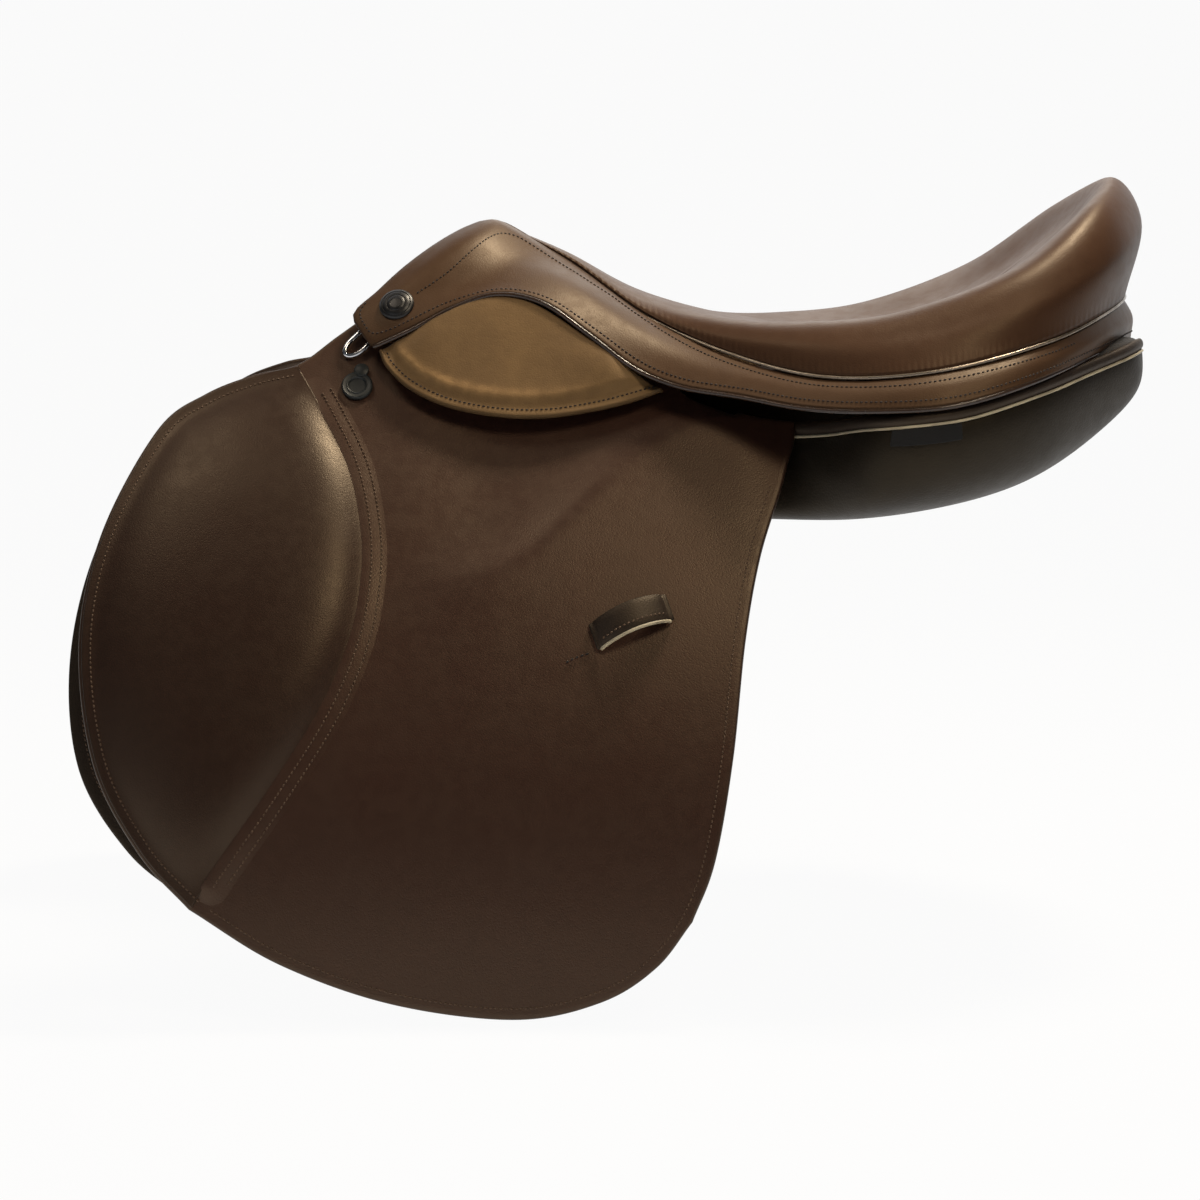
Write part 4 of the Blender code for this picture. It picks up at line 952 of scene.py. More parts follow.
@dataclass
class Seat:
    """The dished seat cover with its welt, drawn from the rails between the pommel and the cantle."""

    finishes: Finishes
    rows: int = 96
    columns: int = 44
    leather: float = 0.0022
    welt_radius: float = 0.001
    welt_thin: float = 0.0004
    welt_sunk: float = 0.002
    welt_start: int = 14
    welt_step: float = 0.0035
    seam_clearance: float = 0.0006
    dark_reach: float = 0.003
    gather_reach: float = 0.006
    rails: tuple[Bent, ...] = (
        (
            (-0.058, 0, 0.1585), (-0.02, 0, 0.1425), (0.02, 0, 0.1215), (0.06, 0, 0.109), (0.1, 0, 0.1),
            (0.14, 0, 0.0955), (0.18, 0, 0.0995), (0.212, 0, 0.112), (0.24, 0, 0.13),
        ),
        (
            (-0.0575, 0.0024, 0.1583), (-0.018, 0.011, 0.1415), (0.022, 0.028, 0.1195),
            (0.062, 0.043, 0.1078), (0.102, 0.054, 0.101), (0.146, 0.062, 0.099), (0.198, 0.062, 0.109),
            (0.245, 0.046, 0.133), (0.272, 0, 0.157),
        ),
        (
            (-0.056, 0.0046, 0.1579), (-0.016, 0.017, 0.1395), (0.025, 0.044, 0.115), (0.066, 0.072, 0.105),
            (0.112, 0.096, 0.104), (0.168, 0.111, 0.1105), (0.232, 0.106, 0.135), (0.278, 0.068, 0.17),
            (0.299, 0, 0.186),
        ),
        (
            (-0.054, 0.0064, 0.1573), (-0.016, 0.02, 0.1388), (0.026, 0.053, 0.111), (0.069, 0.086, 0.0975),
            (0.118, 0.117, 0.094), (0.177, 0.133, 0.098), (0.244, 0.124, 0.12), (0.295, 0.08, 0.146),
            (0.317, 0, 0.162),
        ),
        (
            (-0.0515, 0.0078, 0.1566), (-0.016, 0.0215, 0.1375), (0.027, 0.0565, 0.108),
            (0.072, 0.0925, 0.088), (0.124, 0.128, 0.0765), (0.184, 0.145, 0.0805), (0.247, 0.126, 0.096),
            (0.291, 0.071, 0.112), (0.3085, 0, 0.119),
        ),
    )

    def half(self, rows: int, columns: int) -> Grid:
        """The off half of the seat's outer surface as a grid."""
        shares = np.linspace(0.0, 1.0, rows)
        across = [through(rail, shares, number > 0) for number, rail in enumerate(self.rails)]
        stations = np.stack(across, axis=1)
        grid = np.stack([through(row, np.linspace(0.0, 1.0, columns)) for row in stations])
        grid[..., 1] = np.maximum(grid[..., 1], 0.0)
        return grid

    def seam(self, away: float, count: int = 200, front: float | None = None, sunk: float = 0.0) -> Line:
        """A line beside the seat's welt edge, moved away from the seat along its side.

        Args:
            away: How far the line lies from the cover's edge.
            count: How many points are wanted.
            front: How far it lies from it over the pommel, where this differs.
            sunk: How far the line lies inside the cover's face over the pommel.

        Returns:
            The off half of the line, from the pommel to the centre of the cantle.
        """
        grid = self.half(count, 11)
        edge = grid[:, -1]
        ahead = unit(np.gradient(edge, axis=0))
        run = edge - grid[:, -2]
        run = unit(run - ahead * (run * ahead).sum(axis=1)[:, None])
        rear = eased((edge[:, 0] - 0.01) / 0.07)[:, None]
        front = away if front is None else front
        line = edge + (front + (away - front) * rear) * run
        line -= sunk * (1 - rear) * self.outward(grid)[:, -1]
        line[-1, 1] = 0.0
        return line

    def build(self) -> None:
        """Make the cover and the welt."""
        half = self.half(self.rows, self.columns)
        grid = np.concatenate((half[:, :0:-1] * MIRROR, half), axis=1)
        rows, columns = grid.shape[:2]
        inner = grid - self.leather * self.outward(grid)
        verts = np.vstack((grid.reshape(-1, 3), inner.reshape(-1, 3)))
        count = rows * columns
        faces = grid_faces(rows, columns)
        faces += [face[::-1] for face in grid_faces(rows, columns, count)]
        for i in range(rows - 1):
            for j in (0, columns - 1):
                a, b = i * columns + j, (i + 1) * columns + j
                faces.append((a, b, b + count, a + count))
        faces += [(j, j + 1, j + 1 + count, j + count) for j in range(columns - 1)]
        cover = add_piece("seat_cover_hide", verts, faces, self.finishes["seat_hide"])
        places = np.array([v.co for v in cover.data.vertices])
        line = self.seam(0.0, 300)
        both = np.vstack((line, line * MIRROR))
        near = np.array([np.linalg.norm(both - p, axis=1).min() for p in places])
        paint(cover, "edge", 0.5 * bell(near, self.dark_reach))
        paint(cover, "gather", bell(near, self.gather_reach))
        entered(cover, stands_for=["seat_cover"])
        line = self.seam(self.welt_radius + 0.5 * self.seam_clearance, sunk=self.welt_sunk)
        line = line[self.welt_start :]
        line = resampled(np.vstack((line * MIRROR, line[-2::-1])), self.welt_step)
        radii = self.welt_thin + (self.welt_radius - self.welt_thin) * eased((line[:, 0] - 0.01) / 0.05)
        welt = tube("seat_welt_cord", line, radii, self.finishes["silver_cord"])
        entered(welt, stands_for=["seat_welt"])

    def outward(self, grid: Grid) -> Grid:
        """The outward directions of a grid that looks up."""
        normal = np.cross(np.gradient(grid, axis=0), np.gradient(grid, axis=1))
        length = np.linalg.norm(normal, axis=-1, keepdims=True)
        normal = np.where(length > 1e-12, normal / np.maximum(length, 1e-12), (0.0, 0.0, 1.0))
        normal[-2:] = normal[-3]
        middle = normal[grid.shape[0] // 2, grid.shape[1] // 2]
        return normal if middle[2] > 0 else -normal


@dataclass
class Skirts:
    """The two skirts that run from the pommel, over the jockeys and round under the cantle."""

    finishes: Finishes
    seat: Seat
    rows: int = 170
    columns: int = 30
    leather: float = 0.003
    swell: float = 0.08
    rear_swell: float = 0.06
    piping_radius: float = 0.0014
    piping_gap: float = 0.0004
    piping_step: float = 0.003
    middle_gap: float = 0.001
    upper_row: float = 0.0056
    upper_start: int = 33
    upper_end: float = 0.262
    edge_row: float = 0.0034
    nose_row: float = 0.0032
    nose_shares: tuple[float, float] = (0.78, 0.97)
    inside_rows: int = 40
    smoothings: int = 3
    head: Bent = (
        (-0.07, 0, 0.157), (-0.0622, 0.0022, 0.1597), (-0.054, 0.0105, 0.1585),
    )
    edge: Bent = (
        (-0.129, 0.081, 0.092), (-0.107, 0.081, 0.102), (-0.084, 0.0765, 0.1135), (-0.058, 0.0735, 0.121),
        (-0.031, 0.0775, 0.116), (-0.004, 0.0875, 0.098), (0.021, 0.0975, 0.08), (0.046, 0.107, 0.0705),
        (0.078, 0.121, 0.066), (0.11, 0.138, 0.061), (0.146, 0.152, 0.06), (0.19, 0.158, 0.063),
        (0.234, 0.143, 0.074), (0.274, 0.103, 0.086), (0.301, 0.052, 0.0925), (0.313, 0, 0.093),
    )
    nose: Bent = (
        (-0.07, 0, 0.1572), (-0.0765, 0.013, 0.158), (-0.0935, 0.034, 0.1485), (-0.1115, 0.0495, 0.135),
        (-0.127, 0.0605, 0.1205), (-0.1395, 0.068, 0.1085), (-0.1345, 0.0765, 0.0985),
        (-0.129, 0.0815, 0.0915),
    )
    nose_rows: int = 24
    peak_row: Flat = (
        (8.9, 22.9), (9.5, 17.6), (8.7, 11.0), (8.6, 5.8), (11.0, 3.6), (15.5, 3.5), (22.0, 4.2),
        (30.0, 4.6),
    )
    cap_spot: tuple[float, float] = (6.6, 24.6)

    def at(self, grid: Grid, spots: Line) -> Line:
        """What a grid holds at fractional places (row, column)."""
        whole = np.minimum(spots.astype(int), np.array(grid.shape[:2]) - 2)
        f, g = (spots - whole).T[..., None]
        i, j = whole.T
        first = grid[i, j] * (1 - g) + grid[i, j + 1] * g
        return first * (1 - f) + (grid[i + 1, j] * (1 - g) + grid[i + 1, j + 1] * g) * f

    def surface(self) -> Grid:
        """The off skirt's outer face as a grid from its seam to its lower edge."""
        seam = self.seat.seam(2 * self.seat.welt_radius + 2 * self.seat.seam_clearance, 27, 0.0016)[1:]
        upper = evenly([*self.head, *seam[1:].tolist()], self.rows, True)
        lower = evenly(self.edge, self.rows, True)
        across = lower - upper
        along = np.gradient(upper + lower, axis=0)
        along[-1] = (0.0, -1.0, 0.0)
        outward = unit(np.cross(along, across))
        if outward[self.rows // 2, 1] < 0:
            outward = -outward
        swell = self.swell + self.rear_swell * eased((upper[:, 0] - 0.24) / 0.05)
        middle = 0.5 * (upper + lower) + outward * (swell * np.linalg.norm(across, axis=1))[:, None]
        middle[-1, 1] = 0.0
        shares = np.linspace(0.0, 1.0, self.columns)
        grid = np.stack([through(row, shares) for row in np.stack((upper, middle, lower), axis=1)])
        push = evenly(self.nose, self.columns) - grid[0]
        grid += push[None] * (1 - eased(np.arange(self.rows) / self.nose_rows))[:, None, None]
        grid[..., 1] = np.maximum(grid[..., 1], self.middle_gap)
        return grid

    def normals(self, grid: Grid) -> Grid:
        """The outward directions of the off skirt's grid."""
        normal = unit(np.cross(np.gradient(grid, axis=0), np.gradient(grid, axis=1)))
        return normal if normal[self.rows // 2, self.columns // 2, 1] > 0 else -normal

    def row(self, both: Grid, away: float, lower: bool) -> Line:
        """A line on the skirt at a distance from one of its long edges.

        Args:
            both: The skirt's outer face, with its outward directions as further columns.
            away: The distance from the edge.
            lower: Whether the edge is the lower one.

        Returns:
            The line's points, with the directions out of the leather there.
        """
        return np.array([part_way(line, away) for line in (both[:, ::-1] if lower else both)])

    def build(self) -> None:
        """Make both skirts, their stitching and the light piping under their edge."""
        grid = self.surface()
        normals = self.normals(grid)
        for side in Side:
            outer, up = side.mirrored(grid), side.mirrored(normals)
            name = f"skirt_hide_{side.label}"
            skirt = leather_sheet(name, outer, -up, self.leather, self.finishes["skirt_hide"])
            entered(skirt, stands_for=[f"skirt_{side.label}"])
            self.sew(outer, up, side)
        below = (self.piping_radius + self.piping_gap) * unit(grid[:, -1] - grid[:, -3])
        line = grid[:, -1] + below - 0.5 * self.leather * normals[:, -1]
        line[-1, 1] = 0.0
        line = resampled(np.vstack((line * MIRROR, line[-2::-1])), self.piping_step)
        cord = tube("skirt_piping_cord", line, self.piping_radius, self.finishes["brown_cord"])
        entered(cord, stands_for=["skirt_piping"])

    def inside(self, both: Grid, shares: Grid, away: float) -> Line:
        """A line on the skirt at a distance from its front edge.

        Args:
            both: The skirt's outer face, with its outward directions as further columns.
            shares: Where the line's points lie down the front edge.
            away: The distance from that edge.

        Returns:
            The line's points, with the directions out of the leather there.
        """
        spots = []
        for share in shares * (self.columns - 1):
            k = min(int(share), self.columns - 2)
            here, after = both[: self.inside_rows, k], both[: self.inside_rows, k + 1, :3]
            places = here[:, :3] * (k + 1 - share) + after * (share - k)
            spots.append(part_way(np.hstack((places, here[:, 3:])), away))
        return np.array(spots)

    def sew(self, outer: Grid, up: Grid, side: Side) -> None:
        """Sew the row from the cap over the pommel and beside the welt, and the one round the edge."""
        both = np.concatenate((outer, up), axis=-1)
        upper = self.row(both, self.upper_row, False)
        last = int(np.argmax(upper[:, 0] > self.upper_end))
        front = self.at(both, evenly(self.peak_row, 60))
        nose = self.inside(both, np.linspace(*self.nose_shares, 14), self.nose_row)
        rows = {
            "upper": (front, upper[self.upper_start : last]),
            "edge": (nose, self.row(both, self.edge_row, True)[3:-1]),
        }
        for place, parts in rows.items():
            line, out = np.hsplit(np.vstack(parts), 2)
            for _ in range(self.smoothings):
                line[1:-1] = 0.25 * (line[:-2] + line[2:]) + 0.5 * line[1:-1]
            name = f"skirt_stitches_{place}_{side.label}"
            entered(self.finishes.sewn(name, line + TOUCH * out, out, "dark_thread"))


@dataclass
class Jockeys:
    """The padded leaves over the stirrup bars, with a flat sewn lip round a crowned middle."""

    finishes: Finishes
    rows: int = 120
    columns: int = 54
    proud: float = 0.0165
    tip_proud: float = 0.0085
    rest: float = 0.0105
    fall: float = 1.6
    leather: float = 0.0036
    rim: float = 0.0014
    lip: float = 0.0056
    crown: float = 0.0024
    upper: Flat = (
        (-0.1235, 0.083), (-0.106, 0.0895), (-0.089, 0.0985), (-0.074, 0.1055), (-0.058, 0.108),
        (-0.042, 0.106), (-0.026, 0.098), (-0.004, 0.0822), (0.018, 0.0682), (0.034, 0.0615),
    )
    lower: Flat = (
        (-0.1235, 0.083), (-0.119, 0.074), (-0.106, 0.0625), (-0.084, 0.053), (-0.056, 0.048),
        (-0.03, 0.0475), (-0.004, 0.051), (0.018, 0.056), (0.034, 0.0615),
    )

    def flat(self) -> Grid:
        """The leaf as a flat grid of (x, height)."""
        return ruled(evenly(self.upper, self.rows), evenly(self.lower, self.rows), self.columns)

    def out(self, flat: Grid) -> Grid:
        """How far the leaf's outer face stands out of the flap's face."""
        u, v = shares_of(self.rows, self.columns)
        ends = eased(5.0 * np.minimum(u, 1 - u))
        top = self.tip_proud + (self.proud - self.tip_proud) * ends
        fall = eased(v) ** self.fall
        edge = distance_to(evenly(self.lower, 160), flat[..., 0], flat[..., 1])
        swell = self.crown * eased((edge - 0.6 * self.lip) / (1.1 * self.lip))
        return top + (self.rest - top) * fall + swell

    def rub(self, flat: Grid) -> Grid:
        """How much lighter the crown's lower ridge is painted, most of all towards the front: partly wear,
        partly painted highlight.
        """
        edge = distance_to(evenly(self.lower, 160), flat[..., 0], flat[..., 1])
        low = eased((0.088 - flat[..., 1]) / 0.012)
        front = 0.3 + 0.7 * eased((-0.02 - flat[..., 0]) / 0.045)
        rear = eased((0.012 - flat[..., 0]) / 0.03)
        return 0.75 * bell(edge - 1.75 * self.lip, 0.0022) * low * front * rear

    def build(self) -> None:
        """Make both leaves and their stitching."""
        flat = self.flat()
        out = self.out(flat)
        line = beside(evenly(self.lower, 200), 0.45 * self.lip)[4:-4]
        nearest = [np.linalg.norm(flat.reshape(-1, 2) - p, axis=1).argmin() for p in line]
        height = out.reshape(-1)[np.array(nearest)] + TOUCH
        for side in Side:
            # This hide's colour holds painted highlight: a lighter copy of the saddle's leather.
            hide = self.finishes["jockey_hide"]
            # The leaf carries a lighter band on its crown ridge: partly wear, partly painted highlight.
            leaf = laid_sheet("jockey_hide", flat, out, side, self.leather, hide, self.rim, self.rub(flat))
            body = f"{side.label}_jockey"
            entered(leaf, body, [f"jockey_{side.label}"])
            entered(self.finishes.sewn_flat("jockey_stitches", line, height, side, "dark_thread"), body)


@dataclass
class Flaps:
    """Each flap as one sheet of leather, sunk under its jockey, with its knee panel and seams."""

    finishes: Finishes
    rows: int = 132
    columns: int = 150
    leather: float = 0.0035
    bend_above: float = 0.003
    bend_below: float = 0.021
    lift_height: float = 0.0435
    lift_at: float = -0.056
    lift_slope: float = -0.18
    top: Flat = (
        (-0.126, 0.111), (-0.095, 0.123), (-0.045, 0.121), (0.0, 0.101), (0.03, 0.078), (0.055, 0.058),
        (0.082, 0.051), (0.1085, 0.048),
    )
    front: Flat = (
        (-0.126, 0.111), (-0.149, 0.0945), (-0.171, 0.079), (-0.195, 0.0735), (-0.222, 0.063),
        (-0.247, 0.044), (-0.273, -0.01), (-0.281, -0.066), (-0.27, -0.128), (-0.245, -0.173),
        (-0.218, -0.202),
    )
    bottom: Flat = (
        (-0.218, -0.202), (-0.17, -0.231), (-0.11, -0.252), (-0.045, -0.26), (0.0, -0.251), (0.029, -0.233),
        (0.048, -0.209),
    )
    rear: Flat = (
        (0.1085, 0.048), (0.107, 0.038), (0.1035, 0.028), (0.0985, 0.012), (0.0865, -0.022),
        (0.0775, -0.065), (0.07, -0.125), (0.06, -0.178), (0.048, -0.209),
    )
    knee_seam: Flat = (
        (-0.171, 0.077), (-0.155, 0.052), (-0.139, 0.023), (-0.131, -0.008), (-0.13, -0.034),
        (-0.135, -0.064), (-0.15, -0.1), (-0.176, -0.141), (-0.205, -0.182), (-0.2165, -0.2),
    )
    rim: float = 0.0014
    sewn_in: float = 0.0048
    sewn_far: float = 0.0102
    knee_inset: float = 0.0012
    knee_sewn_in: float = 0.0056
    knee_rows: int = 110
    knee_columns: int = 60
    knee_crown: float = 0.0105
    knee_lip: float = 0.0062
    knee_rim: float = 0.001
    knee_soft: float = 0.0016
    knee_reach: float = 0.024
    seam_reach: float = 0.011
    knee_leather: float = 0.0013
    strip_width: float = 0.018
    strip_leather: float = 0.0014
    strip_grid: tuple[int, int] = (170, 16)
    strip_rim: float = 0.0008
    strip_sunk: float = 0.0003
    ridge: Flat = (
        (-0.112, -0.036), (-0.087, -0.032), (-0.06, -0.029), (-0.038, -0.019), (-0.017, 0.0),
        (0.011, 0.026), (0.034, 0.041), (0.06, 0.052),
    )
    ridge_soft: float = 0.0022
    ridge_ends: tuple[float, float] = (-0.115, 0.105)
    crest: float = 0.003
    crest_reach: float = 0.04
    sink: float = 0.0042
    sink_reach: float = 0.019
    window_x: tuple[float, float] = (-0.11, -0.002)
    window_half: float = 0.015
    window_height: float = 0.081
    window_depth: float = 0.03

    def lift_line(self, x: Grid) -> Grid:
        """The height of the bend line at x."""
        return self.lift_height + self.lift_slope * (x - self.lift_at)

    def relief(self, flat: Grid) -> Grid:
        """How far the leather stands off the side curve: sunk under the jockey, proud below the crease."""
        x, z = flat[..., 0], flat[..., 1]
        line = evenly(self.ridge, 90)
        signed = distance_to(line, x, z) * np.sign(z - np.interp(x, line[:, 0], line[:, 1]))
        over = self.ridge_soft * np.logaddexp(0.0, signed / self.ridge_soft)
        under = self.ridge_soft * np.logaddexp(0.0, -signed / self.ridge_soft)
        fade = eased((x - self.ridge_ends[0]) / 0.06) * eased((self.ridge_ends[1] - x) / 0.03)
        rise = self.crest * np.exp(-under / self.crest_reach)
        return fade * (rise - (self.crest + self.sink) * (1 - np.exp(-over / self.sink_reach)))

    def bend(
        self, piece: bpy.types.Object, side: Side,
        stands_for: Sequence[str] = (),
    ) -> None:
        """Enter a piece of the flap, with its placing baked into its mesh and no body to ride on.

        Args:
            piece: The piece.
            side: The side that it is on.
            stands_for: The CAD nodes that it replaces.
        """
        middle = 0.5 * (self.front[4][0] + self.rear[3][0])
        start, end = (
            CURVE.lay(np.array((middle, float(self.lift_line(middle)) + step)), 0.0, side)
            for step in (self.bend_above, -self.bend_below)
        )
        f"{side.label}_flap"
        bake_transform(piece)
        entered(piece, None, stands_for)

    def sheet(self, side: Side) -> None:
        """The flap's own leather, with the window over the stirrup bar."""
        flat = patch(
            evenly(self.top, self.rows), evenly(self.bottom, self.rows),
            evenly(self.front, self.columns), evenly(self.rear, self.columns),
        )
        hide = self.finishes["flap_hide"]
        sheet = laid_sheet("flap_hide", flat, self.relief(flat), side, self.leather, hide, self.rim)
        work = bmesh.new()
        bmesh.ops.create_cube(work, size=1.0)
        length = self.window_x[1] - self.window_x[0]
        bmesh.ops.scale(work, vec=(length, 2 * self.window_half, self.window_depth), verts=work.verts)
        spot = np.array((0.5 * sum(self.window_x), self.window_height))
        outward, ahead = Vector(CURVE.normals(spot, side)), Vector((1, 0, 0))
        turned = Matrix((ahead, outward.cross(ahead), outward)).transposed().to_4x4()
        carve(sheet, work, Matrix.Translation(Vector(CURVE.lay(spot, 0.0, side))) @ turned)
        self.bend(sheet, side, [f"flap_{side.label}", f"flap_top_{side.label}"])

    def knee_flat(self) -> Grid:
        """The knee panel as a flat grid from its front edge to its rear seam."""
        front = resampled(beside(evenly(self.front[2:], 200), self.knee_inset), 0.001)
        wanted, given = np.linspace(0, 1, self.knee_rows), np.linspace(0, 1, len(front))
        front = np.stack([np.interp(wanted, given, front[:, k]) for k in (0, 1)], axis=1)
        return ruled(front, evenly(self.knee_seam, self.knee_rows), self.knee_columns)

    def knee_out(self, flat: Grid) -> Grid:
        """How far the knee panel's outer face stands out of the flap's face."""
        x, z = flat[..., 0], flat[..., 1]
        front = distance_to(beside(evenly(self.front[2:], 160), self.knee_inset), x, z)
        seam = distance_to(evenly(self.knee_seam, 120), x, z)
        away = self.knee_soft * np.logaddexp(0.0, (front - self.knee_lip) / self.knee_soft)
        rise = 1 - np.exp(-away / self.knee_reach)
        fall = (1 - np.exp(-((seam / self.seam_reach) ** 1.3))) * (0.8 + 0.2 * eased(seam / 0.06))
        return self.knee_leather + self.knee_crown * rise * fall

    def knee_panel(self, side: Side) -> None:
        """The crowned knee panel, sewn along its front edge and drawn down into its rear seam."""
        flat, hide = self.knee_flat(), self.finishes["knee_hide"]
        out = self.knee_out(flat)
        panel = laid_sheet("knee_panel_hide", flat, out, side, self.knee_leather, hide, self.knee_rim)
        self.bend(panel, side, [f"knee_pad_{side.label}"])

    def strip(self, side: Side) -> None:
        """The strip sewn over the knee panel's rear seam, pared thin along its own rear edge."""
        rows, columns = self.strip_grid
        seam, shares = evenly(self.knee_seam, rows), np.linspace(0.0, 1.0, columns)
        places = self.strip_width * shares - self.strip_rim
        flat = np.stack([beside(seam, place) for place in places], axis=1)
        ends = np.linspace(0.0, 1.0, rows)
        ends = eased(np.minimum(ends / 0.1, (1 - ends) / 0.04))
        rise = (self.strip_leather + 0.0005) * (1 - eased((shares - 0.1) / 0.9))
        out = self.relief(flat) + rise[None] * ends[:, None] - self.strip_sunk
        hide = self.finishes["flap_hide"]
        strip = laid_sheet("knee_seam_strip", flat, out, side, self.strip_leather, hide, self.strip_rim)
        self.bend(strip, side)

    def sew(self, side: Side) -> None:
        """Sew the flap's edge, the strip beside the knee seam and the knee panel's front edge."""
        edge = evenly([*self.bottom, *self.rear[-2:2:-1]], 300)
        seam = evenly(self.knee_seam, 220)
        front = evenly(self.front[2:], 260)
        rows = {
            "edge": (beside(edge, self.sewn_in)[6:], self.relief, TOUCH),
            "seam_near": (beside(seam, self.sewn_in)[14:-10], self.relief, 0.00145),
            "seam_far": (beside(seam, self.sewn_far)[14:-14], self.relief, 0.0007),
            "knee": (beside(front, self.knee_sewn_in)[3:], self.knee_out, TOUCH),
        }
        for place, (line, form, lift) in rows.items():
            out, name = form(line[None])[0] + lift, f"flap_stitches_{place}"
            self.bend(self.finishes.sewn_flat(name, line, out, side, "brown_thread"), side)

    def build(self) -> None:
        """Make both sides."""
        for side in Side:
            self.sheet(side)
            self.knee_panel(side)
            self.strip(side)
            self.sew(side)


@dataclass
class Keepers:
    """The open loops on the flaps for the ends of the stirrup leathers."""

    finishes: Finishes
    start: tuple[float, float] = (-0.003, -0.064)
    end: tuple[float, float] = (0.037, -0.049)
    width: float = 0.0125
    leather: float = 0.002
    foot: float = 0.0016
    rise: float = 0.0068
    bow: float = 0.0012
    dome: float = 0.0006
    rows: int = 60
    columns: int = 16
    piping_radius: float = 0.001
    sewn_in: float = 0.0026
    mark: Flat = ((-0.0175, -0.0762), (-0.0125, -0.074), (-0.007, -0.0722))

    def line(self, across: float, count: int) -> Line:
        """A flat line along the loop at a distance from its middle."""
        start, end = np.array(self.start), np.array(self.end)
        run = (end - start) / np.linalg.norm(end - start)
        shares = np.linspace(0.0, 1.0, count)[:, None]
        bow = self.bow * (1 - (2 * shares - 1) ** 2)
        return start + (end - start) * shares + np.array((-run[1], run[0])) * (across + bow)

    def out(self, count: int) -> Line:
        """How far the loop's outer face stands out of the flap along its length."""
        share = np.linspace(0.0, 1.0, count)
        arch = np.sin(math.pi * np.clip((share - 0.04) / 0.92, 0.0, 1.0)) ** 0.62
        return self.foot + self.leather + self.rise * arch + self.bow * (1 - (2 * share - 1) ** 2)

    def build(self) -> None:
        """Make both loops, their light lower piping and stitches."""
        count, half, out = self.rows, 0.5 * self.width, self.out(self.rows)
        across = np.linspace(-1.0, 1.0, self.columns)
        flat = np.stack([self.line(place, count) for place in half * across], axis=1)
        domed = out[:, None] + self.dome * (1 - across**4)[None]
        below = self.line(-half - self.piping_radius, count)
        row = self.line(-half + self.sewn_in, count)
        rows = {
            "keeper_stitches": (row[6:-6], out[6:-6] + 0.0005, "brown_thread"),
            "keeper_tack": (evenly(self.mark, 30), 0.0017, "black_thread"),
        }
        for side in Side:
            body, hide = f"{side.label}_flap", self.finishes["under_hide"]
            loop = laid_sheet("keeper_hide", flat, domed, side, self.leather, hide, 0.001)
            entered(loop, body, [f"keeper_{side.label}"])
            points = CURVE.lay(below, out - 0.5 * self.leather, side)[2:-2]
            cord = tube(f"keeper_cord_{side.label}", points, self.piping_radius, self.finishes["cream_cord"])
            entered(cord, body, [f"keeper_piping_{side.label}"])
            for name, (row, height, thread) in rows.items():
                entered(self.finishes.sewn_flat(name, row, height, side, thread), body)


@dataclass
class SweatFlaps:
    """The layer behind each flap, with its sewn edge and the block behind the knee."""

    finishes: Finishes
    depth: float = 0.019
    leather: float = 0.0025
    sewn_in: float = 0.006
    top: Flat = (
        (-0.214, 0.06), (-0.172, 0.04), (-0.13, 0.01), (-0.05, 0.004), (0.03, 0.002), (0.073, 0.0),
    )
    front: Flat = (
        (-0.214, 0.06), (-0.252, 0.041), (-0.279, -0.01), (-0.289, -0.07), (-0.281, -0.128),
        (-0.254, -0.172), (-0.225, -0.197),
    )
    bottom: Flat = (
        (-0.225, -0.197), (-0.172, -0.223), (-0.11, -0.243), (-0.045, -0.25), (0.008, -0.236),
        (0.041, -0.203),
    )
    rear: Flat = (
        (0.073, 0.0), (0.071, -0.045), (0.066, -0.095), (0.06, -0.145), (0.041, -0.203),
    )
    block_front: Flat = (
        (-0.23, 0.036), (-0.254, -0.01), (-0.263, -0.066), (-0.256, -0.112), (-0.24, -0.14),
    )
    block_rear: Flat = (
        (-0.203, 0.036), (-0.213, -0.01), (-0.217, -0.066), (-0.213, -0.112), (-0.207, -0.14),
    )
    grid: tuple[int, int] = (90, 84)
    block_grid: tuple[int, int] = (48, 22)
    block_gap: float = 0.0007
    block_edge: float = 0.005
    block_room: float = 0.0081

    def build(self) -> None:
        """Make both sides."""
        rows, columns = self.grid
        flat = patch(
            evenly(self.top, rows), evenly(self.bottom, rows),
            evenly(self.front, columns), evenly(self.rear, columns),
        )
        row = beside(evenly([*self.front, *self.bottom[1:]], 320), self.sewn_in)[4:-4]
        faces = {"outer": (TOUCH - self.depth, 1), "inner": (-self.depth - self.leather - TOUCH, -1)}
        for side in Side:
            hide = self.finishes["under_hide"]
            sheet = laid_sheet("sweat_flap_hide", flat, -self.depth, side, self.leather, hide, 0.0012)
            entered(sheet, stands_for=[f"sweat_flap_{side.label}"])
            for face, (out, sign) in faces.items():
                line, up = CURVE.lay(row, out, side), sign * CURVE.normals(row, side)
                name = f"sweat_flap_stitches_{face}_{side.label}"
                entered(self.finishes.sewn(name, line, up, "brown_thread"))
            self.block(side)

    def block(self, side: Side) -> None:
        """The cushioned block behind the knee, with its sides drawn in."""
        rows, columns = self.block_grid
        flat = ruled(evenly(self.block_front, rows), evenly(self.block_rear, rows), columns)
        u, v = shares_of(rows, columns)
        crown = (1 - np.abs(2 * u - 1) ** 3.2) * (1 - np.abs(2 * v - 1) ** 2.6)
        out = -self.depth + self.block_gap + self.block_edge + self.block_room * crown
        hide = self.finishes["under_hide"]
        block = laid_sheet("knee_block_hide", flat, out, side, self.block_edge, hide, 0.0024)
        entered(block, stands_for=[f"knee_block_{side.label}"])


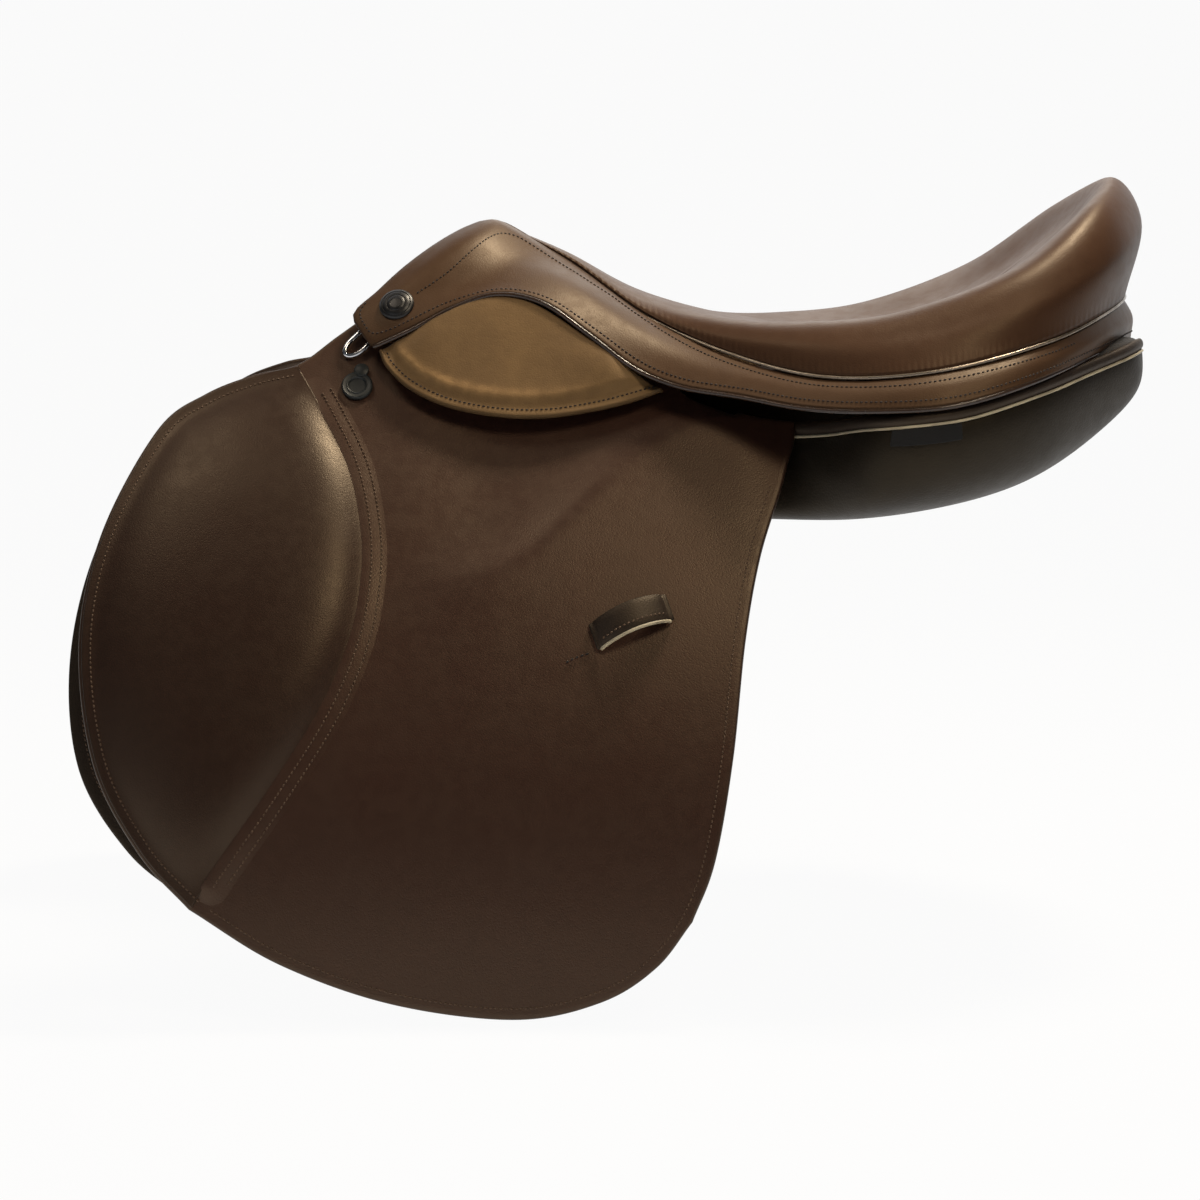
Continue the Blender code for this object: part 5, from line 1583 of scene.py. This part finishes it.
@dataclass
class GirthStraps:
    """Three pointed straps a side, each with its row of holes and two sewn edges."""

    finishes: Finishes
    places: tuple[float, ...] = (-0.05, -0.005, 0.04)
    depth: float = 0.0085
    leather: float = 0.004
    width: float = 0.025
    rows: int = 72
    columns: int = 9
    sewn_in: float = 0.0026
    top: float = 0.03
    end: float = -0.208
    point: float = 0.45
    holes: int = 7
    first_hole: float = -0.024
    pitch: float = 0.025
    hole_radius: float = 0.0027

    def half_width(self, z: Grid) -> Grid:
        """Half the strap's width at a height, drawn in to a point over its last stretch."""
        share = np.clip((z - self.end) / 0.0205, 0.0, 1.0)
        return 0.5 * self.width * (self.point + (1 - self.point) * np.sqrt(1 - (1 - share) ** 2))

    def build(self) -> None:
        """Make all six straps."""
        z = np.linspace(self.top, self.end, self.rows)
        half = self.half_width(z)
        across = half[:, None] * np.linspace(-1.0, 1.0, self.columns)[None]
        for side in Side:
            for number, x in enumerate(self.places, 1):
                flat = np.stack((x + across, np.repeat(z[:, None], self.columns, axis=1)), axis=-1)
                name, hide = f"girth_strap_hide_{number}", self.finishes["strap_hide"]
                strap = laid_sheet(name, flat, -self.depth, side, self.leather, hide, 0.0014)
                self.punch(strap, x, side)
                body = f"{side.label}_girth_strap_{number}"
                entered(strap, body, [f"girth_strap_{number}_{side.label}"])
                for edge, sign in (("front", -1), ("rear", 1)):
                    row = np.stack((x + sign * (half - self.sewn_in), z), axis=1)[1:-4]
                    name = f"girth_strap_stitches_{number}_{side.label}_{edge}"
                    laid, up = CURVE.lay(row, TOUCH - self.depth, side), CURVE.normals(row, side)
                    entered(self.finishes.sewn(name, laid, up, "black_thread"), body)

    def punch(self, strap: bpy.types.Object, x: float, side: Side) -> None:
        """Cut the strap's row of holes."""
        work = bmesh.new()
        for k in range(self.holes):
            spot = np.array((x, self.first_hole - k * self.pitch))
            place = facing(CURVE.lay(spot, -self.depth, side), CURVE.normals(spot, side))
            bmesh.ops.create_cone(
                work, cap_ends=True, segments=18, radius1=self.hole_radius, radius2=self.hole_radius,
                depth=0.02, matrix=place,
            )
        carve(strap, work)


@dataclass
class Panels:
    """The two black cushions that bear on the back, with their facings, cords and the near side's tab."""

    finishes: Finishes
    cage_x: tuple[float, ...] = (-0.127, -0.03, 0.112, 0.142, 0.185, 0.24, 0.284, 0.312)
    cage: tuple[Flat, ...] = (
        ((0.026, 0.09), (0.04, 0.05), (0.066, 0.012), (0.086, 0.008), (0.067, 0.046), (0.041, 0.092)),
        ((0.027, 0.085), (0.038, 0.039), (0.067, -0.004), (0.099, -0.006), (0.078, 0.037), (0.045, 0.087)),
        ((0.031, 0.07), (0.031, 0.022), (0.069, -0.01), (0.1, -0.01), (0.075, 0.036), (0.055, 0.07)),
        ((0.032, 0.07), (0.031, 0.022), (0.078, -0.009), (0.148, -0.006), (0.164, 0.054), (0.1, 0.072)),
        ((0.032, 0.074), (0.031, 0.024), (0.08, -0.004), (0.155, 0.001), (0.17, 0.062), (0.11, 0.077)),
        ((0.033, 0.082), (0.032, 0.036), (0.074, 0.008), (0.136, 0.014), (0.148, 0.076), (0.098, 0.087)),
        ((0.034, 0.092), (0.034, 0.058), (0.06, 0.036), (0.092, 0.042), (0.102, 0.086), (0.076, 0.096)),
        ((0.036, 0.096), (0.037, 0.074), (0.052, 0.062), (0.068, 0.066), (0.074, 0.088), (0.06, 0.097)),
    )
    facing_edge: Bent = (
        (0.102, 0.09, 0.039), (0.118, 0.106, 0.041), (0.135, 0.128, 0.0445), (0.16, 0.152, 0.0485),
        (0.19, 0.1545, 0.052), (0.215, 0.149, 0.058), (0.245, 0.13, 0.0665), (0.272, 0.11, 0.0755),
        (0.295, 0.087, 0.0825), (0.308, 0.067, 0.087),
    )
    rows: int = 120
    levels: int = 12
    tab_rows: int = 40
    facing_leather: float = 0.0011
    facing_height: float = 0.009
    facing_roll: float = 0.0034
    piping_radius: float = 0.0008
    gap: float = 0.0006
    tab_front: float = 0.159
    tab_length: float = 0.036
    tab_height: float = 0.008
    tab_cloth: float = 0.001

    def cushion(self, side: Side) -> bpy.types.Object:
        """One cushion, rounded from its cage."""
        work = bmesh.new()
        rings = [
            [work.verts.new((x, side.value * y, z)) for y, z in corners]
            for x, corners in zip(self.cage_x, self.cage)
        ]
        halves = ((0, 1, 4, 5), (1, 2, 3, 4))
        caps = [[ring[k] for k in half] for ring in (rings[0], rings[-1]) for half in halves]
        for face in (*hoops(rings), *caps):
            work.faces.new(face)
        bmesh.ops.recalc_face_normals(work, faces=work.faces)
        mesh = bpy.data.meshes.new(f"panel_cushion_{side.label}")
        work.to_mesh(mesh)
        work.free()
        mesh.materials.append(self.finishes["panel_hide"])
        cushion = linked(mesh.name, mesh)
        soft = cushion.modifiers.new("soft", "SUBSURF")
        soft.levels = soft.render_levels = 4
        settle(cushion)
        cushion.data.shade_smooth()
        return entered(cushion, "saddle", [f"panel_{side.label}"])

    def over(self, cushion: bpy.types.Object, spots: Grid, out: Grid) -> tuple[Grid, Grid]:
        """Points moved onto a cushion's cover.

        Args:
            cushion: The cushion.
            spots: Points near its cover.
            out: How far each lies over the cover.

        Returns:
            The points on the cover and the cover's outward directions there.
        """
        flat, height = spots.reshape(-1, 3), np.broadcast_to(out, spots.shape[:-1]).reshape(-1)
        laid, ups = [], []
        for spot, rise in zip(flat, height):
            _, place, normal, _ = cushion.closest_point_on_mesh(Vector(spot))
            laid.append(place + normal * float(rise))
            ups.append(normal)
        return np.array(laid).reshape(spots.shape), np.array(ups).reshape(spots.shape)

    def build(self) -> None:
        """Make both sides and the tab."""
        for side in Side:
            cushion = self.cushion(side)
            guide = side.mirrored(evenly(self.facing_edge, self.rows))
            line, _ = self.over(cushion, guide, np.full(self.rows, self.piping_radius + 0.0002))
            line, finish = resampled(line, 0.003), self.finishes["cream_cord"]
            cord = tube(f"panel_cord_{side.label}", line, self.piping_radius, finish)
            entered(cord, stands_for=[f"panel_piping_{side.label}"])
            levels = np.linspace(0.0, 1.0, self.levels)
            lift = self.piping_radius + self.gap + self.facing_height * levels
            spots = guide[:, None] + np.array((0.0, 0.0, 1.0)) * lift[None, :, None]
            roll = self.facing_roll * np.sqrt(1 - 0.92 * (2 * levels - 1) ** 2)
            outer, up = self.over(cushion, spots, np.repeat(roll[None], self.rows, axis=0))
            name, hide = f"panel_facing_hide_{side.label}", self.finishes["under_hide"]
            facing = leather_sheet(name, outer, -up, self.facing_leather, hide, 0.0006)
            entered(facing, stands_for=[f"panel_facing_{side.label}"])
            if side is Side.NEAR:
                self.tab(cushion)

    def tab(self, cushion: bpy.types.Object) -> None:
        """The bare tab that hangs from under the near side's cord."""
        fine = evenly(self.facing_edge, 240)
        x = np.linspace(self.tab_front, self.tab_front + self.tab_length, self.tab_rows)
        y = -np.interp(x, fine[:, 0], fine[:, 1])
        z = np.interp(x, fine[:, 0], fine[:, 2]) - self.piping_radius - self.gap
        drops = np.linspace(0.0, self.tab_height, self.levels)
        spots = np.stack((x, y, z), axis=1)[:, None] - np.array((0.0, 0.0, 1.0)) * drops[None, :, None]
        out = 0.0011 + 0.0007 * eased(drops / self.tab_height)[None]
        outer, up = self.over(cushion, spots, np.repeat(out, self.tab_rows, axis=0))
        weave = self.finishes["black_weave"]
        tab = leather_sheet("rear_tab_weave", outer, -up, self.tab_cloth, weave, 0.0005)
        entered(tab, stands_for=["rear_tab"])


@dataclass
class Metalwork:
    """Front rings with their staples, the skirts' caps, the near token, and the steel and wood inside."""

    finishes: Finishes
    skirts: Skirts
    cap_radius: float = 0.01
    axis_front: tuple[float, float] = (-0.1325, 0.0995)
    axis_rear: tuple[float, float] = (-0.126, 0.0939)
    out: float = 0.003
    wire: float = 0.0014
    length: float = 0.021
    leg_share: float = 0.55
    corner: float = 0.0016
    staple_wire: float = 0.0009
    play: float = 0.0004
    steps: int = 56
    cap_profile: Flat = (
        (1.0, 0.0), (1.0, 0.0009), (0.96, 0.0016), (0.84, 0.0021), (0.81, 0.0018), (0.78, 0.0022),
        (0.56, 0.0026), (0.53, 0.0023), (0.5, 0.0027), (0.34, 0.003), (0.31, 0.0027), (0.1, 0.0029),
    )
    token_growth: float = 1.18
    token_profile: Flat = (
        (1.0, 0.0), (1.0, 0.0012), (0.96, 0.002), (0.9, 0.0022), (0.84, 0.0019), (0.66, 0.0018),
        (0.62, 0.0022), (0.56, 0.002), (0.52, 0.0011), (0.1, 0.001),
    )
    hook_offset: Spot = (0.0022, 0.0045, 0.0088)
    hook_profile: Flat = (
        (0.0042, 0.0), (0.0042, 0.0008), (0.0038, 0.0012), (0.0004, 0.0013),
    )

    def ring(self, side: Side) -> None:
        """One ring and the staple that holds its bar."""
        a = CURVE.lay(np.array(self.axis_front), self.out, side)
        b = CURVE.lay(np.array(self.axis_rear), self.out, side)
        half = 0.5 * float(np.linalg.norm(b - a))
        bar = (b - a) / (2 * half)
        middle = 0.5 * (a + b)
        outward = CURVE.normals(0.5 * (np.array(self.axis_front) + np.array(self.axis_rear)), side)
        outward = unit(outward - bar * outward.dot(bar))
        hang = -side.value * np.cross(bar, outward)
        leg, corner = self.leg_share * self.length, self.corner
        local = [(-half + corner, 0.0), (half - corner, 0.0), (half, corner), (half, leg)]
        for turn in np.linspace(0.0, math.pi, 17)[1:-1]:
            local.append((half * math.cos(turn), leg + (self.length - leg) * math.sin(turn)))
        local += [(-half, leg), (-half, corner)]
        line = np.array([middle + bar * p + hang * q for p, q in local])
        ring = tube(f"front_ring_wire_{side.label}", line, self.wire, self.finishes["chromed"], 14, True)
        entered(ring, f"{side.label}_front_ring", [f"front_ring_{side.label}"])
        reach = self.wire + self.staple_wire + self.play
        foot = self.out - self.play
        local = [(-reach, -foot), (-reach, 0.3 * reach)]
        for turn in np.linspace(math.pi, 0.0, 9)[1:-1]:
            local.append((reach * math.cos(turn), 0.3 * reach + reach * math.sin(turn)))
        local += [(reach, 0.3 * reach), (reach, -foot)]
        line = np.array([middle + hang * p + outward * q for p, q in local])
        staple = tube(f"ring_staple_wire_{side.label}", line, self.staple_wire, self.finishes["forged"], 10)
        entered(staple, stands_for=[f"ring_staple_{side.label}"])

    def seat_of(self, node: str, outward: Vector) -> tuple[Matrix, float]:
        """Where a round CAD disc sits.

        Args:
            node: The disc's node.
            outward: Roughly the way that it faces.

        Returns:
            A placing matrix on the middle of its foot with Z out of it, and its radius.
        """
        points = np.array([v.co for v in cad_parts[node].data.vertices])
        middle = points.mean(axis=0)
        normal = np.linalg.svd(points - middle)[2][2]
        if normal @ np.array(outward) < 0:
            normal = -normal
        height = (points - middle) @ normal
        foot = middle + normal * height.min()
        radius = float(np.linalg.norm(points - middle - np.outer(height, normal), axis=1).max())
        return facing(foot, normal), radius

    def turned(
        self, name: str, profile: Sequence[tuple[float, float]], place: Matrix, finish: str,
        stands_for: Sequence[str] = (),
    ) -> None:
        """A round piece turned from its profile.

        Args:
            name: The piece's name.
            profile: Its radius and height at each step.
            place: Its placing matrix.
            finish: The name of its finish.
            stands_for: The CAD nodes that it replaces.
        """
        turns = [2 * math.pi * k / self.steps for k in range(self.steps)]
        verts = [
            place @ Vector((radius * math.cos(turn), radius * math.sin(turn), height))
            for radius, height in profile
            for turn in turns
        ]
        rings = counted(len(profile), self.steps)
        made = add_piece(name, np.array(verts), [*hoops(rings), rings[0], rings[-1]], self.finishes[finish])
        made.data.set_sharp_from_angle(angle=SHARP)
        entered(made, stands_for=stands_for)

    def on_skirt(self, side: Side) -> Matrix:
        """A placing matrix on the skirt's leather where its cap sits, with Z out of it."""
        grid = self.skirts.surface()
        spot = np.array((self.skirts.cap_spot,))
        foot = side.mirrored(self.skirts.at(grid, spot)[0])
        outward = side.mirrored(self.skirts.at(self.skirts.normals(grid), spot)[0])
        return facing(foot - self.play * outward, outward)

    def caps(self) -> None:
        """The domed black caps with fine rings on the skirts, and the near side's token."""
        for side in Side:
            place, nodes = self.on_skirt(side), [f"skirt_button_{side.label}"]
            profile = [(share * self.cap_radius, height) for share, height in self.cap_profile]
            self.turned(f"skirt_cap_{side.label}", profile, place, "black_cap", nodes)
        place, radius = self.seat_of("front_tag", Vector((0, -1, 0.5)))
        radius *= self.token_growth
        profile = [(share * radius, height) for share, height in self.token_profile]
        self.turned("front_token", profile, place, "black_rubber", ["front_tag"])
        hook = Matrix.Translation(Vector(self.hook_offset)) @ place
        self.turned("front_token_tab", self.hook_profile, hook, "black_rubber")

    def inside(self) -> None:
        """Finish the CAD pieces that keep their own shape."""
        finishes = {
            "stirrup_bar": "forged", "bar_catch": "forged", "catch_pin": "chromed", "gullet_plate": "forged",
            "tree_": "beech", "girth_web": "girth_webbing", "seat_web": "girth_webbing",
        }
        for name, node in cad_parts.items():
            found = [finish for start, finish in finishes.items() if name.startswith(start)]
            if not found or node.hide_render:
                continue
            node.data.materials.clear()
            node.data.materials.append(self.finishes[found[0]])
            if found[0] in ("forged", "beech"):
                bevel = node.modifiers.new("worn_edges", "BEVEL")
                bevel.width = 0.00045 if found[0] == "forged" else 0.0012
                bevel.segments = 2
                bevel.limit_method = "ANGLE"
                bevel.angle_limit = SHARP

    def build(self) -> None:
        """Make everything."""
        for side in Side:
            self.ring(side)
        self.caps()
        self.inside()


@dataclass
class SeatFilling:
    """The foam under the seat cover, with its pared edges."""

    finishes: Finishes
    seat: Seat
    depth: float = 0.0058
    thickness: float = 0.008
    start: float = 5 / 26
    across: float = 3 / 8

    def build(self) -> None:
        """Make the foam."""
        half = self.seat.half(105, 33)
        half = half - self.depth * self.seat.outward(half)
        half = half[int(self.start * 104) :, : int(self.across * 32) + 1]
        grid = np.concatenate((half[:, :0:-1] * MIRROR, half), axis=1)
        foam = leather_sheet(
            "seat_foam_filling", grid[:-1], -self.seat.outward(grid[:-1]), self.thickness,
            self.finishes["seat_foam_cells"], 0.003,
        )
        entered(foam, stands_for=["seat_foam"])


@dataclass
class Studio:
    """The pale floor and backdrop, the soft lamps and the camera at the photograph's place."""

    floor_height: float = -0.2665
    camera_place: Spot = (0.0, -1.685, 0.157)
    aim: Spot = (0.0, 0.0, -0.065)
    lens: float = 85.0
    floor_reach: float = 6.0
    backdrop_start: float = 1.6
    backdrop_radius: float = 1.2
    backdrop_height: float = 5.0
    glow_share: float = 0.95
    lamps: tuple[tuple[str, Spot, Spot, float, float, Colour], ...] = (
        ("key", (0.42, 0.12, 1.28), (0.0, -0.05, 0.0), 0.26, 17.5, (1.0, 0.86, 0.66)),
        ("high_left", (-0.66, -0.36, 1.2), (-0.1, -0.12, 0.0), 0.3, 2.4, (1.0, 0.86, 0.7)),
        ("high_front", (0.42, -0.85, 0.85), (0.06, -0.1, 0.0), 0.3, 3.4, (1.0, 0.84, 0.62)),
        ("front_fill", (-1.5, -2.0, 0.4), (-0.05, 0.0, -0.05), 1.2, 1.5, (0.88, 0.94, 1.0)),
        ("rim", (0.2, 1.5, 1.1), (0.0, 0.0, 0.0), 0.8, 3.0, (1.0, 0.92, 0.8)),
    )

    def floor(self) -> None:
        """A pale floor that turns up into a backdrop."""
        shader = Shader("pale_floor")
        path = shader.node("ShaderNodeLightPath")
        seen = shader.take(path, "Is Camera Ray")
        glossy = shader.take(path, "Is Glossy Ray")
        clear = shader.take(path, "Is Transmission Ray")
        lit = shader.node("ShaderNodeBsdfDiffuse", Color=(0.8, 0.8, 0.8))
        glow = shader.node("ShaderNodeEmission", Color=(1.0, 1.0, 1.0), Strength=1.0)
        mix = shader.node("ShaderNodeMixShader")
        shader.feed(mix.inputs[0], ((seen + glossy + clear) * self.glow_share).clipped())
        shader.tree.links.new(lit.outputs[0], mix.inputs[1])
        shader.tree.links.new(glow.outputs[0], mix.inputs[2])
        shader.tree.links.new(mix.outputs[0], shader.tree.nodes["Material Output"].inputs["Surface"])
        shader.tree.nodes.remove(shader.surface)
        reach, start, radius = self.floor_reach, self.backdrop_start, self.backdrop_radius
        turns = np.linspace(0.2, math.pi / 2, 9)
        profile = [(-reach, 0.0), (start, 0.0)]
        profile += [(start + radius * math.sin(turn), radius - radius * math.cos(turn)) for turn in turns]
        profile.append((start + radius, self.backdrop_height))
        verts = [(x, y, self.floor_height + z) for y, z in profile for x in (-reach, reach)]
        faces = [(2 * k, 2 * k + 1, 2 * k + 3, 2 * k + 2) for k in range(len(profile) - 1)]
        floor = drawn("studio_floor", verts, faces, shader.material)
        floor.data.shade_smooth()

    def lamp(self, name: str, place: Spot, aim: Spot, size: float, power: float, colour: Colour) -> None:
        """A square soft lamp.

        Args:
            name: The lamp's name.
            place: Where it hangs.
            aim: The point that it faces.
            size: Its side.
            power: Its power in watts.
            colour: Its colour.
        """
        data = bpy.data.lights.new(name, "AREA")
        data.shape = "SQUARE"
        data.size = size
        data.energy = power
        data.color = colour
        self.aimed(linked(name, data), place, aim)

    def aimed(self, thing: bpy.types.Object, place: Spot, aim: Spot) -> bpy.types.Object:
        """A lamp or camera set in its place and turned to a point."""
        thing.location = place
        thing.rotation_mode = "QUATERNION"
        thing.rotation_quaternion = (Vector(aim) - Vector(place)).to_track_quat("-Z", "Y")
        return thing

    def world(self) -> None:
        """A faint cool light from all round, and plain white where the camera sees past the floor."""
        world = bpy.data.worlds.new("studio")
        world.use_nodes = True
        tree = world.node_tree
        glow = tree.nodes["Background"]
        glow.inputs["Color"].default_value = (0.8, 0.9, 1.0, 1.0)
        glow.inputs["Strength"].default_value = 0.07
        white = tree.nodes.new("ShaderNodeBackground")
        white.inputs["Color"].default_value = (1.0, 1.0, 1.0, 1.0)
        white.inputs["Strength"].default_value = 1.0
        path = tree.nodes.new("ShaderNodeLightPath")
        mix = tree.nodes.new("ShaderNodeMixShader")
        tree.links.new(path.outputs["Is Camera Ray"], mix.inputs["Fac"])
        tree.links.new(glow.outputs[0], mix.inputs[1])
        tree.links.new(white.outputs[0], mix.inputs[2])
        tree.links.new(mix.outputs[0], tree.nodes["World Output"].inputs["Surface"])
        bpy.context.scene.world = world

    def camera(self) -> None:
        """The camera, as far off and as high as the photograph's."""
        data = bpy.data.cameras.new("camera")
        data.lens = self.lens
        data.sensor_width = 36.0
        bpy.context.scene.camera = self.aimed(linked("camera", data), self.camera_place, self.aim)

    def build(self) -> None:
        """Make the studio."""
        bpy.context.scene.view_settings.view_transform = "Standard"
        self.floor()
        self.world()
        for lamp in self.lamps:
            self.lamp(*lamp)
        self.camera()


def main() -> None:
    """Build the saddle's looks in order."""
    logging.basicConfig(level=logging.INFO, format="%(name)s %(message)s")
    finishes = Finishes().make()
    studio = Studio()
    studio.build()
    seat = Seat(finishes)
    seat.build()
    skirts = Skirts(finishes, seat)
    skirts.build()
    Jockeys(finishes).build()
    Flaps(finishes).build()
    Keepers(finishes).build()
    SweatFlaps(finishes).build()
    GirthStraps(finishes).build()
    Panels(finishes).build()
    SeatFilling(finishes, seat).build()
    Metalwork(finishes, skirts).build()


if __name__ == "__main__":
    main()
